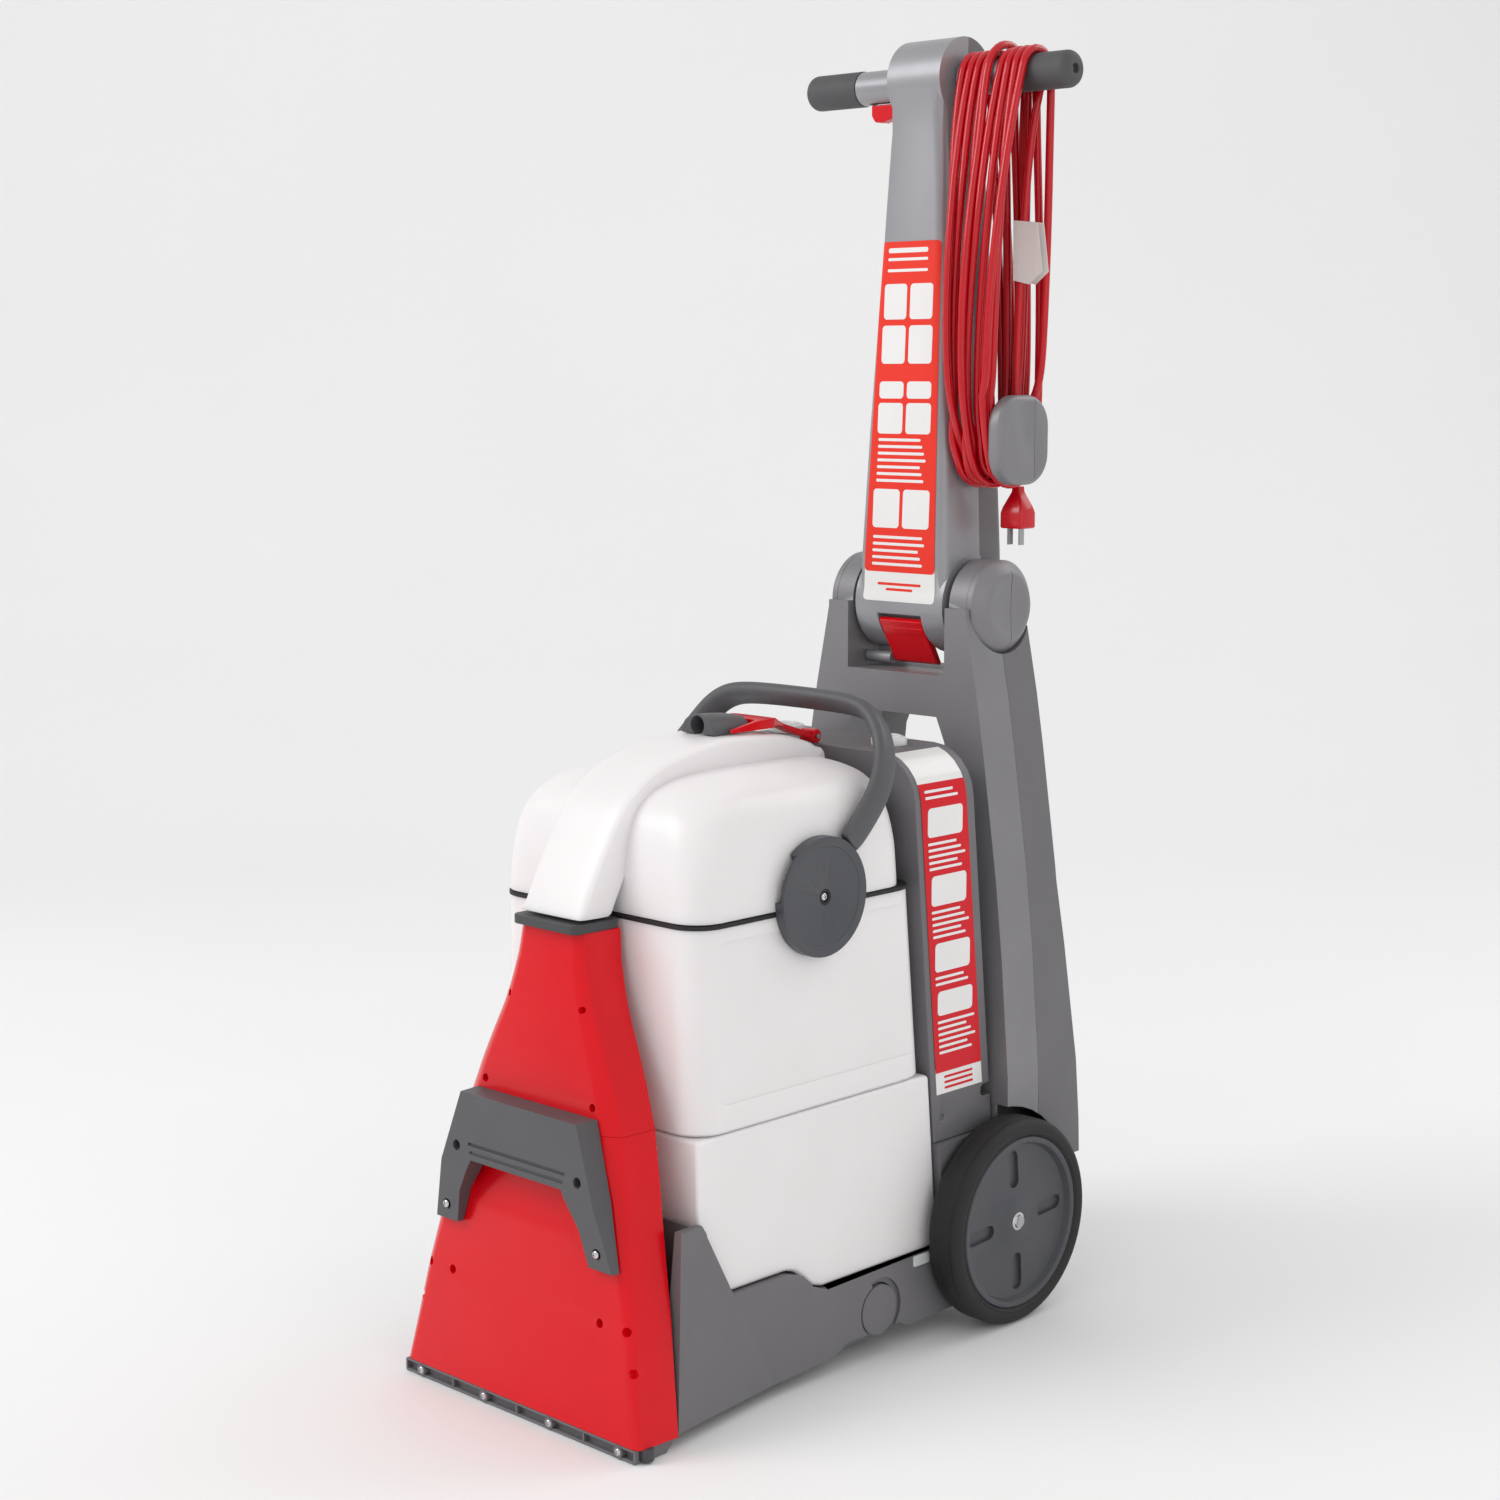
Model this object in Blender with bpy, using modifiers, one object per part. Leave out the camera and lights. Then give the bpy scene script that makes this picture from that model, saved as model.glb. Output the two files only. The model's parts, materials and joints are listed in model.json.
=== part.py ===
"""Upright carpet extractor: a wheeled base with two tanks, a floating brush, a red suction
hood, an A-shaped frame and a hinged handle with its power cord hung on it.

Frame: metres, +Z up, the front (suction nozzle) faces -Y, the origin is on the floor under
the middle of the machine. The right-hand side (+X) carries the cord.
"""

import math

import bmesh
import bpy
from mathutils import Matrix, Vector

GAP = 0.0003                    # clearance between neighbouring pieces

# --- base ---------------------------------------------------------------------------------
WALL = 0.0030                   # wall of the moulded covers
TANK_HALF = 0.1220              # half width of the tanks and of the rear housing
BASE_HALF = 0.1280              # half width of the chassis side walls
BASE_INSIDE = 0.1225            # inner face of those walls
WELL_FRONT = -0.2065            # front wall of the tank well, clear of a tank that is lifted out
REAR_BASE_TOP = 0.1740          # joint between the chassis and the rear housing

# --- hood: half width and height of its front face, from the bottom up -----------------------
HOOD_FRONT_Y = -0.2900          # front face at the bottom
HOOD_SLOPE = 0.1046             # how far the front face leans back, per metre of height
HOOD_DEPTH = 0.0430
HOOD_FLARE = 0.0020             # the side walls open out towards the rear edge
HOOD_BOTTOM = 0.0120
HOOD_SEAM = 0.2500
HOOD_TOP = 0.4050
HOOD_OUTLINE = [(0.1450, 0.0120), (0.1280, 0.1000), (0.1120, 0.1700), (0.0940, 0.2500),
                (0.0800, 0.2850), (0.0690, 0.3087), (0.0560, 0.3350), (0.0480, 0.3560),
                (0.0410, 0.3800), (0.0372, 0.4050)]

# --- tanks and lid --------------------------------------------------------------------------
TANK_FRONT = -0.2000
TANK_SPLIT = 0.2390             # between the clean and the recovery tank
LID_SEAM = 0.4130               # gasket plane
TANK_REAR_SLOPE = 0.0966        # the rear faces lean forward with height, per metre
TANK_REAR_Y = 0.0895            # rear face at the height of TANK_SPLIT
TANK_CORNER = 0.0280

# --- wheels -----------------------------------------------------------------------------------
WHEEL_R = 0.0940
HUB_R = 0.0785
WHEEL_Y = 0.1700
WHEEL_IN = 0.1300
WHEEL_OUT = 0.1660
AXLE_R = 0.0050

# --- frame and handle ---------------------------------------------------------------------------
HINGE_Y = 0.2280
HINGE_Z = 0.6430
BOSS_R = 0.0425
BOSS_IN = 0.0585
BOSS_OUT = 0.0780
CAP_OUT = 0.0940
PIN_R = 0.0080
FRAME_FRONT = 0.1790
FRAME_SEAM = 0.2240
FRAME_BOTTOM = 0.1300
FRAME_BAR = (0.5430, 0.5810)    # cross bar under the handle
FRAME_EDGE = [(0.1400, 0.1300), (0.1390, 0.2200), (0.1300, 0.3300), (0.1220, 0.4020),
              (0.1060, 0.5120), (0.0976, 0.5630), (0.0828, 0.6370)]
HANDLE_SEAM = 0.2375
HANDLE_BARREL_R = 0.0455
HANDLE_HALF = 0.0525
BAR_Y = 0.2345                  # T-bar axis
BAR_Z = 1.1155
BAR_R = 0.0125
BAR_HALF = 0.1500
HEAD_R = 0.0375
HEAD_HALF = 0.0310
COLLAR_END = 0.0900
GRIP_END = 0.1540
GRIP_R = 0.0163

# --- carry handle and lid lever ------------------------------------------------------------------
CAM_Y = -0.0590
CAM_Z = 0.4220
CAM_R = 0.0510
CAM_IN = 0.1225
CAM_OUT = 0.1320

# --- brush deck -----------------------------------------------------------------------------------
DECK_Y = 0.0170                 # pivot of the floating deck
DECK_Z = 0.0430
BRUSH_Y = -0.1650
BRUSH_Z = 0.0345
BRUSH_R = 0.0300
MOTOR_Y = -0.0700
MOTOR_Z = 0.0420
BELT_X = -0.1020

# --- power cord ------------------------------------------------------------------------------------
CORD_R = 0.00375
HANK_IN_X = 0.0400              # inner side of the hank where it lies over the grip
HANK_OUT_X = 0.1180             # outer side there
HANK_LOW_IN = 0.0545            # the same two sides at the cord hook
HANK_LOW_OUT = 0.0945
HANK_TOP = BAR_Z + GRIP_R + 0.0170
HANK_BOTTOM = 0.7450
HOOK_Y = 0.2240
HOOK_Z = 0.7940
RELIEF_X = 0.0400               # where the cord leaves the handle
RELIEF_Y = 0.2800
RELIEF_TOP = 0.9100
RELIEF_LENGTH = 0.0330
PLUG_X = 0.0850
PLUG_Y = 0.2500
PLUG_LOW = 0.7130               # underside of the plug's body
PLUG_TOP = 0.7515

AXES = {"x": Matrix(((0, 0, 1), (1, 0, 0), (0, 1, 0))),
        "y": Matrix(((1, 0, 0), (0, 0, -1), (0, 1, 0))),
        "z": Matrix.Identity(3)}

COLOURS = {"silver": ((0.38, 0.38, 0.40), 0.35, 0.3), "grey": ((0.17, 0.165, 0.165), 0.5, 0.0),
           "dark": ((0.085, 0.085, 0.09), 0.5, 0.0), "black": ((0.02, 0.02, 0.02), 0.7, 0.0),
           "red": ((0.70, 0.004, 0.02), 0.3, 0.0), "white": ((0.85, 0.84, 0.83), 0.35, 0.0),
           "clear": ((0.75, 0.76, 0.76), 0.2, 0.0), "steel": ((0.55, 0.55, 0.56), 0.3, 1.0),
           "brass": ((0.70, 0.50, 0.20), 0.35, 1.0), "cord": ((0.62, 0.003, 0.02), 0.25, 0.0)}


def start_empty():
    """Remove whatever the scene holds and make the two collections."""
    for old in list(bpy.data.objects):
        bpy.data.objects.remove(old, do_unlink=True)
    made = []
    for label in ("carpet_cleaner", "cutters"):
        group = bpy.data.collections.new(label)
        bpy.context.scene.collection.children.link(group)
        made.append(group)
    return made


PARTS, CUTTERS = start_empty()


def finish_material(name, colour):
    tone, rough, metal = COLOURS[colour]
    mat = bpy.data.materials.new(name)
    mat.use_nodes = True
    shader = mat.node_tree.nodes["Principled BSDF"]
    shader.inputs["Base Color"].default_value = (*tone, 1.0)
    shader.inputs["Roughness"].default_value = rough
    shader.inputs["Metallic"].default_value = metal
    return mat


def place(name, mesh, colour, origin=(0, 0, 0)):
    """Make the object of one node; its origin goes to the given point."""
    mesh.transform(Matrix.Translation(-Vector(origin)))
    obj = bpy.data.objects.new(name, mesh)
    obj.location = origin
    if colour is None:
        CUTTERS.objects.link(obj)
        obj.hide_render = True
        obj.display_type = "WIRE"
        return obj
    PARTS.objects.link(obj)
    mesh.materials.clear()
    mesh.materials.append(finish_material(name, colour))
    mesh.shade_smooth()
    mesh.set_sharp_from_angle(angle=math.radians(32))
    return obj


def mesh_of(bm, name):
    bmesh.ops.recalc_face_normals(bm, faces=bm.faces)
    mesh = bpy.data.meshes.new(name)
    bm.to_mesh(mesh)
    bm.free()
    return mesh


def turn(axis, centre=(0, 0, 0)):
    """The matrix that lays a local Z along the named axis, at a centre."""
    return Matrix.Translation(Vector(centre)) @ AXES[axis].to_4x4()


def arc(cu, cv, radius, start, end, steps):
    """Points of an arc, angles in degrees from the first axis towards the second."""
    points = []
    for i in range(steps + 1):
        a = math.radians(start + (end - start) * i / steps)
        points.append((cu + radius * math.cos(a), cv + radius * math.sin(a)))
    return points


def mirrored(half):
    """Close an outline given as its right-hand half, from the bottom up."""
    return half + [(-u, v) for u, v in reversed(half)]


def between(table, v):
    """Linear value at v in a list of (value, v) pairs that rise in v."""
    for (a, va), (b, vb) in zip(table, table[1:]):
        if v <= vb:
            return a + (b - a) * (v - va) / (vb - va)
    return table[-1][0]


def prism(name, outline, axis, low, high, colour=None, origin=(0, 0, 0)):
    """A flat outline, extruded along an axis: y-z for x, x-z for y, x-y for z."""
    curve = bpy.data.curves.new(name, "CURVE")
    curve.dimensions = "2D"
    curve.fill_mode = "BOTH"
    curve.extrude = (high - low) / 2
    spline = curve.splines.new("POLY")
    spline.points.add(len(outline) - 1)
    for point, (u, v) in zip(spline.points, outline):
        point.co = (u, v, 0, 1)
    spline.use_cyclic_u = True
    middle = Vector({"x": ((low + high) / 2, 0, 0), "y": (0, (low + high) / 2, 0),
                     "z": (0, 0, (low + high) / 2)}[axis])
    return place(name, curve_mesh(name, curve, turn(axis, middle)), colour, origin)


def curve_mesh(name, curve, matrix):
    """The welded mesh of a curve, with the matrix applied; the curve is removed."""
    guide = bpy.data.objects.new(name + "_guide", curve)
    CUTTERS.objects.link(guide)
    bpy.context.view_layer.update()
    mesh = bpy.data.meshes.new_from_object(guide.evaluated_get(bpy.context.evaluated_depsgraph_get()))
    bpy.data.objects.remove(guide, do_unlink=True)
    bpy.data.curves.remove(curve)
    bm = bmesh.new()
    bm.from_mesh(mesh)
    bpy.data.meshes.remove(mesh)
    bmesh.ops.remove_doubles(bm, verts=bm.verts, dist=0.00001)
    bmesh.ops.transform(bm, matrix=matrix, verts=bm.verts)
    return mesh_of(bm, name)


def block(name, low, high, colour=None, origin=(0, 0, 0)):
    bm = bmesh.new()
    size = Vector(high) - Vector(low)
    middle = (Vector(high) + Vector(low)) / 2
    bmesh.ops.create_cube(bm, size=1, matrix=Matrix.Translation(middle) @ Matrix.Diagonal((*size, 1)))
    return place(name, mesh_of(bm, name), colour, origin)


def rod(name, axis, centre, radius, length, colour=None, sides=32, end_radius=None):
    bm = bmesh.new()
    end = radius if end_radius is None else end_radius
    bmesh.ops.create_cone(bm, cap_ends=True, segments=sides, radius1=radius, radius2=end,
                          depth=length, matrix=turn(axis, centre))
    return place(name, mesh_of(bm, name), colour, centre)


def turned(name, axis, centre, profile, colour, closed=False, steps=40):
    """A turned piece: (radius, height) pairs run down the outer side; a Screw spins them."""
    bm = bmesh.new()
    verts = [bm.verts.new((r, 0, h)) for r, h in profile]
    ends = verts[1:] + verts[:1] if closed else verts[1:]
    for a, b in zip(verts, ends):
        bm.edges.new((a, b))
    mesh = bpy.data.meshes.new(name)
    bm.to_mesh(mesh)
    bm.free()
    mesh.materials.append(finish_material(name, colour))
    obj = bpy.data.objects.new(name, mesh)
    obj.matrix_world = turn(axis, centre)
    PARTS.objects.link(obj)
    screw = obj.modifiers.new("turn", "SCREW")
    screw.steps = steps
    screw.render_steps = steps
    screw.use_merge_vertices = True
    screw.merge_threshold = 0.00001
    screw.use_smooth_shade = True
    return obj


def tube(name, points, radius, colour, resolution=2):
    """A round bar or cord along a list of points."""
    curve = bpy.data.curves.new(name, "CURVE")
    curve.dimensions = "3D"
    curve.bevel_depth = radius
    curve.bevel_resolution = resolution
    curve.use_fill_caps = True
    spline = curve.splines.new("POLY")
    spline.points.add(len(points) - 1)
    for point, co in zip(spline.points, points):
        point.co = (*co, 1)
    return place(name, curve_mesh(name, curve, Matrix.Identity(4)), colour)


def smooth_route(knots, spacing):
    """Evenly spaced points on the smooth curve through the knots (Catmull-Rom)."""
    knots = [Vector(k) for k in knots]
    padded = [2 * knots[0] - knots[1]] + knots + [2 * knots[-1] - knots[-2]]
    fine = []
    for p0, p1, p2, p3 in zip(padded, padded[1:], padded[2:], padded[3:]):
        for i in range(24):
            t = i / 24
            fine.append(0.5 * (2 * p1 + (p2 - p0) * t + (2 * p0 - 5 * p1 + 4 * p2 - p3) * t * t
                               + (3 * p1 - p0 - 3 * p2 + p3) * t ** 3))
    fine.append(knots[-1])
    length = sum((b - a).length for a, b in zip(fine, fine[1:]))
    count = max(2, round(length / spacing))
    route, walked, target = [fine[0]], 0.0, length / count
    for a, b in zip(fine, fine[1:]):
        step = (b - a).length
        while walked + step >= target and len(route) < count:
            route.append(a.lerp(b, (target - walked) / step))
            target += length / count
        walked += step
    return route + [fine[-1]]


def loft(name, rings, colour=None, origin=(0, 0, 0)):
    """A closed skin over rings with the same number of points."""
    bm = bmesh.new()
    rows = [[bm.verts.new(p) for p in ring] for ring in rings]
    for low, high in zip(rows, rows[1:]):
        for i in range(len(low)):
            j = (i + 1) % len(low)
            bm.faces.new((low[i], low[j], high[j], high[i]))
    bm.faces.new(rows[0])
    bm.faces.new(rows[-1])
    return place(name, mesh_of(bm, name), colour, origin)


def rounded(half, front, rear, radius, z, steps=5):
    """A ring at height z: a rectangle with rounded corners, in plan."""
    middle = (front + rear) / 2
    radius = min(radius, half * 0.98, (rear - front) * 0.49)
    ring = []
    for sx, sy, start in ((1, 1, 0), (-1, 1, 90), (-1, -1, 180), (1, -1, 270)):
        cu = sx * (half - radius)
        cv = middle + sy * ((rear - front) / 2 - radius)
        ring += [(u, v, z) for u, v in arc(cu, cv, radius, start, start + 90, steps)]
    return ring


def modify(obj, tool, operation="DIFFERENCE"):
    step = obj.modifiers.new(operation.lower(), "BOOLEAN")
    step.operation = operation
    step.solver = "EXACT"
    step.object = tool
    return obj


def cut(obj, *tools):
    for tool in tools:
        modify(obj, tool)
    return obj


def join(obj, *tools):
    for tool in tools:
        modify(obj, tool, "UNION")
    return obj


def use_manifold(obj):
    """The second solver, for the forms that the exact one leaves open."""
    for step in obj.modifiers:
        if step.type == "BOOLEAN":
            step.solver = "MANIFOLD"


# --- hood ------------------------------------------------------------------------------------

def hood_y(z):
    return HOOD_FRONT_Y + HOOD_SLOPE * (z - HOOD_BOTTOM)


def hood_ring(z, inset=0.0, back=0.0):
    """The hood's plan section at a height: front face, rounded edges, side walls."""
    half = between(HOOD_OUTLINE, z) - inset
    front = hood_y(z) + inset
    rear = hood_y(z) + HOOD_DEPTH + back
    radius = 0.010 - inset
    right = arc(half - radius, front + radius, radius, -90, 0, 3) + [(half + HOOD_FLARE, rear)]
    return [(u, v, z) for u, v in right] + [(-u, v, z) for u, v in reversed(right)]


def hood_piece(name, low, high):
    heights = [low] + [z for _, z in HOOD_OUTLINE if low < z < high] + [high]
    outer = loft(name, [hood_ring(z) for z in heights], "red")
    inner_heights = [low - 0.01] + heights[1:-1] + [high + 0.01]
    rings = []
    for z in inner_heights:
        inside = min(max(z, HOOD_BOTTOM), HOOD_TOP)
        rings.append([(x, y, z) for x, y, _ in hood_ring(inside, WALL, 0.02)])
    return cut(outer, loft(name + "_hollow", rings))


def build_hood():
    lower = hood_piece("hood_lower", HOOD_BOTTOM, HOOD_SEAM - GAP)
    hood_piece("hood_upper", HOOD_SEAM, HOOD_TOP)
    pocket_y = hood_y(0.19)
    pocket = block("finger_pocket", (-0.050, pocket_y - 0.03, 0.168), (0.050, pocket_y + 0.0015, 0.212))
    cut(lower, pocket)
    ring = [rounded(0.0395, -0.2560, -0.2045, 0.008, z) for z in (HOOD_TOP + GAP, LID_SEAM)]
    collar = loft("hood_collar", ring, "dark")
    cut(collar, block("collar_bore", (-0.033, -0.250, 0.39), (0.033, -0.211, 0.43)))


def build_front_grip():
    """The dark bail handle that is screwed over the hood."""
    def front(z):
        return between([(hood_y(0.146) - 0.007, 0.146), (hood_y(0.20) - 0.019, 0.200),
                        (hood_y(0.262) - 0.022, 0.262)], z)

    rings = []
    for z in (0.146, 0.172, 0.200, 0.231, 0.262):
        half = between([(0.1110, 0.146), (0.0960, 0.200), (0.0735, 0.262)], z)
        rear = hood_y(z) - GAP
        rings.append([(-half, rear, z), (half, rear, z), (half - 0.002, front(z), z),
                      (-half + 0.002, front(z), z)])
    grip = loft("front_grip", rings, "dark")
    opening = [(-0.0830, 0.140), (0.0830, 0.140), (0.0740, 0.176), (0.0560, 0.206),
               (-0.0560, 0.206), (-0.0740, 0.176)]
    cut(grip, prism("grip_opening", opening, "y", -0.34, -0.20))
    hollow = [(-0.058, 0.216), (0.058, 0.216), (0.052, 0.252), (-0.052, 0.252)]
    cut(grip, prism("grip_hollow", hollow, "y", hood_y(0.24) - 0.014, -0.20))
    return grip


# --- tanks and lid -----------------------------------------------------------------------------

def tank_rear(z):
    return TANK_REAR_Y - TANK_REAR_SLOPE * (z - TANK_SPLIT)


def tank_ring(z, inset=0.0):
    rear = tank_rear(z) - inset
    return rounded(TANK_HALF - inset, TANK_FRONT + inset, rear, TANK_CORNER - inset, z)


def build_tanks():
    upper = loft("recovery_tank", [tank_ring(z) for z in (TANK_SPLIT + GAP, LID_SEAM - 0.0020)], "white")
    cut(upper, loft("recovery_hollow", [tank_ring(z, WALL) for z in (TANK_SPLIT + WALL, 0.45)]))
    # the clean tank has a stepped bottom, which drops behind the brush motor
    profile = [(TANK_FRONT, 0.2387), (TANK_FRONT, 0.1300), (-0.1800, 0.1045), (-0.0960, 0.1045),
               (-0.0800, 0.0990), (-0.0660, 0.0860), (-0.0500, 0.0800), (tank_rear(0.080) - 0.001, 0.0800),
               (tank_rear(0.2387), 0.2387)]
    lower = prism("clean_tank", profile, "x", -TANK_HALF, TANK_HALF, "white")
    inside = [(TANK_FRONT + WALL, 0.27), (TANK_FRONT + WALL, 0.1320), (-0.1785, 0.1075), (-0.0945, 0.1075),
              (-0.0780, 0.1020), (-0.0640, 0.0890), (-0.0490, 0.0830),
              (tank_rear(0.080) - 0.004, 0.0830), (tank_rear(0.27) - WALL, 0.27)]
    cut(lower, prism("clean_hollow", inside, "x", -TANK_HALF + WALL, TANK_HALF - WALL))
    gasket = loft("tank_gasket", [tank_ring(z) for z in (LID_SEAM - 0.0017, LID_SEAM + 0.0007)], "black")
    cut(gasket, loft("gasket_hole", [tank_ring(z, 0.005) for z in (0.40, 0.43)]))


LID_BASE = LID_SEAM + 0.0010
DOME = [(0.1220, -0.2000, 0.0600, 0.028, LID_BASE), (0.1210, -0.1985, 0.0590, 0.032, 0.4500),
        (0.1180, -0.1930, 0.0550, 0.036, 0.4800), (0.1100, -0.1800, 0.0510, 0.042, 0.5020),
        (0.0980, -0.1600, 0.0420, 0.046, 0.5160), (0.0800, -0.1350, 0.0300, 0.050, 0.5240)]
SPINE = [(-0.2500, LID_BASE + 0.0005), (-0.2330, 0.4450), (-0.2160, 0.4750), (-0.2000, 0.5020),
         (-0.1800, 0.5200), (-0.1540, 0.5330), (-0.1080, 0.5440), (-0.0700, 0.5480), (-0.0100, 0.5440),
         (0.0350, 0.5300), (0.0480, 0.5150), (0.0500, LID_BASE + 0.0005)]


def build_lid():
    lid = loft("tank_lid", [rounded(*row) for row in DOME], "white")
    join(lid, prism("lid_spine", SPINE, "x", -0.0370, 0.0370))
    dome_in = [rounded(h - WALL, f + WALL, r - WALL, c - WALL, z - WALL) for h, f, r, c, z in DOME]
    dome_in[0] = [(x, y, 0.4020) for x, y, _ in dome_in[0]]
    spine_in = [(-0.2455, 0.40), (-0.2460, LID_BASE), (-0.2290, 0.4450), (-0.2125, 0.4740),
                (-0.1970, 0.4995), (-0.1780, 0.5170), (-0.1530, 0.5298), (-0.1080, 0.5405),
                (-0.0700, 0.5445), (-0.0110, 0.5405), (0.0330, 0.5272), (0.0450, 0.5130), (0.0470, 0.40)]
    hollow = loft("dome_hollow", dome_in)
    join(hollow, prism("spine_hollow", spine_in, "x", -0.0370 + WALL, 0.0370 - WALL))
    cut(lid, hollow)
    for piece in (lid, hollow):
        use_manifold(piece)
    return lid


def build_lid_top():
    """Drain cap and the red lever that holds it shut."""
    arch_shape = [(1.2 * u, 0.5485 + v) for u, v in arc(0, 0, 0.0165, 0, 180, 14)]
    cap = prism("drain_cap", arch_shape, "y", -0.0780, -0.0290, "dark")
    cut(cap, rod("cap_mouth", "y", (0, -0.0810, 0.5560), 0.0062, 0.030, None, 20))
    pivot = (0, 0.0640, 0.5330)
    side = [(-0.0620, 0.5488), (-0.0600, 0.5530), (-0.0280, 0.5560), (0.0020, 0.5545), (0.0480, 0.5385)]
    side += arc(pivot[1], pivot[2], 0.0052, 90, -90, 6) + [(0.0480, 0.5340), (0.0100, 0.5480)]
    lever = prism("lid_lever", side, "x", -0.0250, 0.0250, "red", pivot)
    cut(lever, block("lever_fork", (-0.0204, -0.0700, 0.54), (0.0204, -0.0282, 0.57)))
    for sign in (1, -1):
        outline = [(sign * u, v) for u, v in [(0.0085, 0.0700), (0.0085, 0.0180), (0.0260, 0.0020),
                                              (0.0300, 0.0020), (0.0300, 0.0700)]]
        cut(lever, prism(f"lever_waist_{sign}", outline, "z", 0.52, 0.58))
    return lever


def bail_ring(centre, ahead, wide, thick):
    """A rounded section of the bail: wide along its swing, thinner across."""
    forward = Vector(ahead).normalized()
    reach = Vector((0, centre[1] - CAM_Y, centre[2] - CAM_Z))
    along = Vector((1, 0, 0)).cross(reach)
    along = (along - along.dot(forward) * forward).normalized()
    across = forward.cross(along)
    ring = []
    for i in range(12):
        a = 2 * math.pi * i / 12
        u = math.copysign(abs(math.cos(a)) ** 0.7, math.cos(a)) * wide / 2
        v = math.copysign(abs(math.sin(a)) ** 0.7, math.sin(a)) * thick / 2
        ring.append(Vector(centre) + along * u + across * v)
    return ring


def build_carry_handle():
    """A bail over the lid; the cam discs at its ends clamp the lid to the tank."""
    reach = CAM_R + 0.0006
    half = [(0.1282, CAM_Y + 0.62 * reach, CAM_Z + 0.785 * reach), (0.1288, -0.0110, 0.4780),
            (0.1265, 0.0150, 0.5050), (0.1150, 0.0340, 0.5320), (0.0960, 0.0440, 0.5570),
            (0.0700, 0.0475, 0.5670)]
    knots = half + [(0, 0.0480, 0.5690)] + [(-x, y, z) for x, y, z in reversed(half)]
    route = smooth_route(knots, 0.018)
    rings = []
    for i, point in enumerate(route):
        ahead = route[min(i + 1, len(route) - 1)] - route[max(i - 1, 0)]
        high = between([(0.0, 0.44), (1.0, 0.56)], point.z)
        rings.append(bail_ring(point, ahead, 0.0250 + 0.0020 * high, 0.0105 + 0.0045 * high))
    loft("carry_handle", rings, "grey", (0, CAM_Y, CAM_Z))
    hook = [(-0.1200, 0.4230), (-0.1040, 0.4230), (-0.1000, 0.4400), (-0.0880, 0.4520),
            (-0.1000, 0.4800), (-0.1200, 0.4700)]
    for side, sign in (("left", -1), ("right", 1)):
        disc = rod("cam_disc_" + side, "x", (sign * (CAM_IN + CAM_OUT) / 2, CAM_Y, CAM_Z), CAM_R,
                   CAM_OUT - CAM_IN, "dark", 48)
        notch = prism("cam_notch_" + side, hook, "x", *sorted((sign * 0.1200, sign * 0.1290)))
        seat = rod("cam_bore_" + side, "x", (sign * 0.1330, CAM_Y, CAM_Z), 0.0070, 0.0080, None, 24)
        cut(disc, notch, seat)
        rod("cam_screw_" + side, "x", (sign * 0.13020, CAM_Y, CAM_Z), 0.0050, 0.0020, "steel", 16)


# --- rear housing and chassis ---------------------------------------------------------------

def housing_ring(y_low, y_high, inset=0.0, low=REAR_BASE_TOP + GAP):
    """The housing's front or rear outline: straight sides, rounded shoulders, flat top."""
    half = TANK_HALF - inset
    top = 0.5270 - inset
    radius = 0.0420 - inset
    side = [(half, low)] + arc(half - radius, top - radius, radius, 0, 90, 6)
    outline = side + [(-u, v) for u, v in reversed(side)]
    return [(u, y_low + (y_high - y_low) * (v - REAR_BASE_TOP) / (0.5270 - REAR_BASE_TOP), v)
            for u, v in outline]


def build_rear_housing():
    front_low = tank_rear(REAR_BASE_TOP) + 0.0008
    front_high = tank_rear(0.5270) + 0.0008
    body = loft("rear_housing", [housing_ring(front_low, front_high), housing_ring(0.1780, 0.1420)], "grey")
    inner = [housing_ring(front_low + WALL, front_high + WALL, WALL, 0.15),
             housing_ring(0.1780 - WALL, 0.1420 - WALL, WALL, 0.15)]
    cut(body, loft("housing_hollow", inner))
    rod("vacuum_motor", "z", (0, 0.1315, 0.2330), 0.0310, 0.0900, "steel", 32)
    rod("vacuum_fan_case", "z", (0, 0.1240, 0.3030), 0.0340, 0.0480, "black", 32)
    block("water_pump", (-0.0900, 0.1130, 0.1780), (-0.0480, 0.1580, 0.2250), "black")
    for side, sign in (("left", -1), ("right", 1)):
        turned("port_cap_" + side, "z", (sign * 0.0620, 0.1000, 0.5273),
               [(0, 0.0085), (0.0140, 0.0085), (0.0160, 0.0065), (0.0160, 0), (0, 0)], "clear", steps=24)


CHASSIS_SIDE = [(-0.2440, 0.0125), (-0.1000, 0.0125), (-0.0400, 0.0160), (-0.0240, 0.0240),
                (0.0450, 0.0240), (0.0560, 0.0180), (0.1400, 0.0200), (0.1980, 0.0420), (0.1980, 0.1292),
                (0.1780, 0.1292), (0.1780, REAR_BASE_TOP),
                (tank_rear(REAR_BASE_TOP) + 0.0008, REAR_BASE_TOP), (tank_rear(0.080) + 0.0008, 0.0786),
                (-0.0500, 0.0786), (-0.0670, 0.0850), (-0.0810, 0.0985), (-0.0990, 0.1040),
                (-0.1780, 0.1040), (-0.1960, 0.1640), (-0.2010, 0.1715), (-0.2265, 0.1715)]


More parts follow.
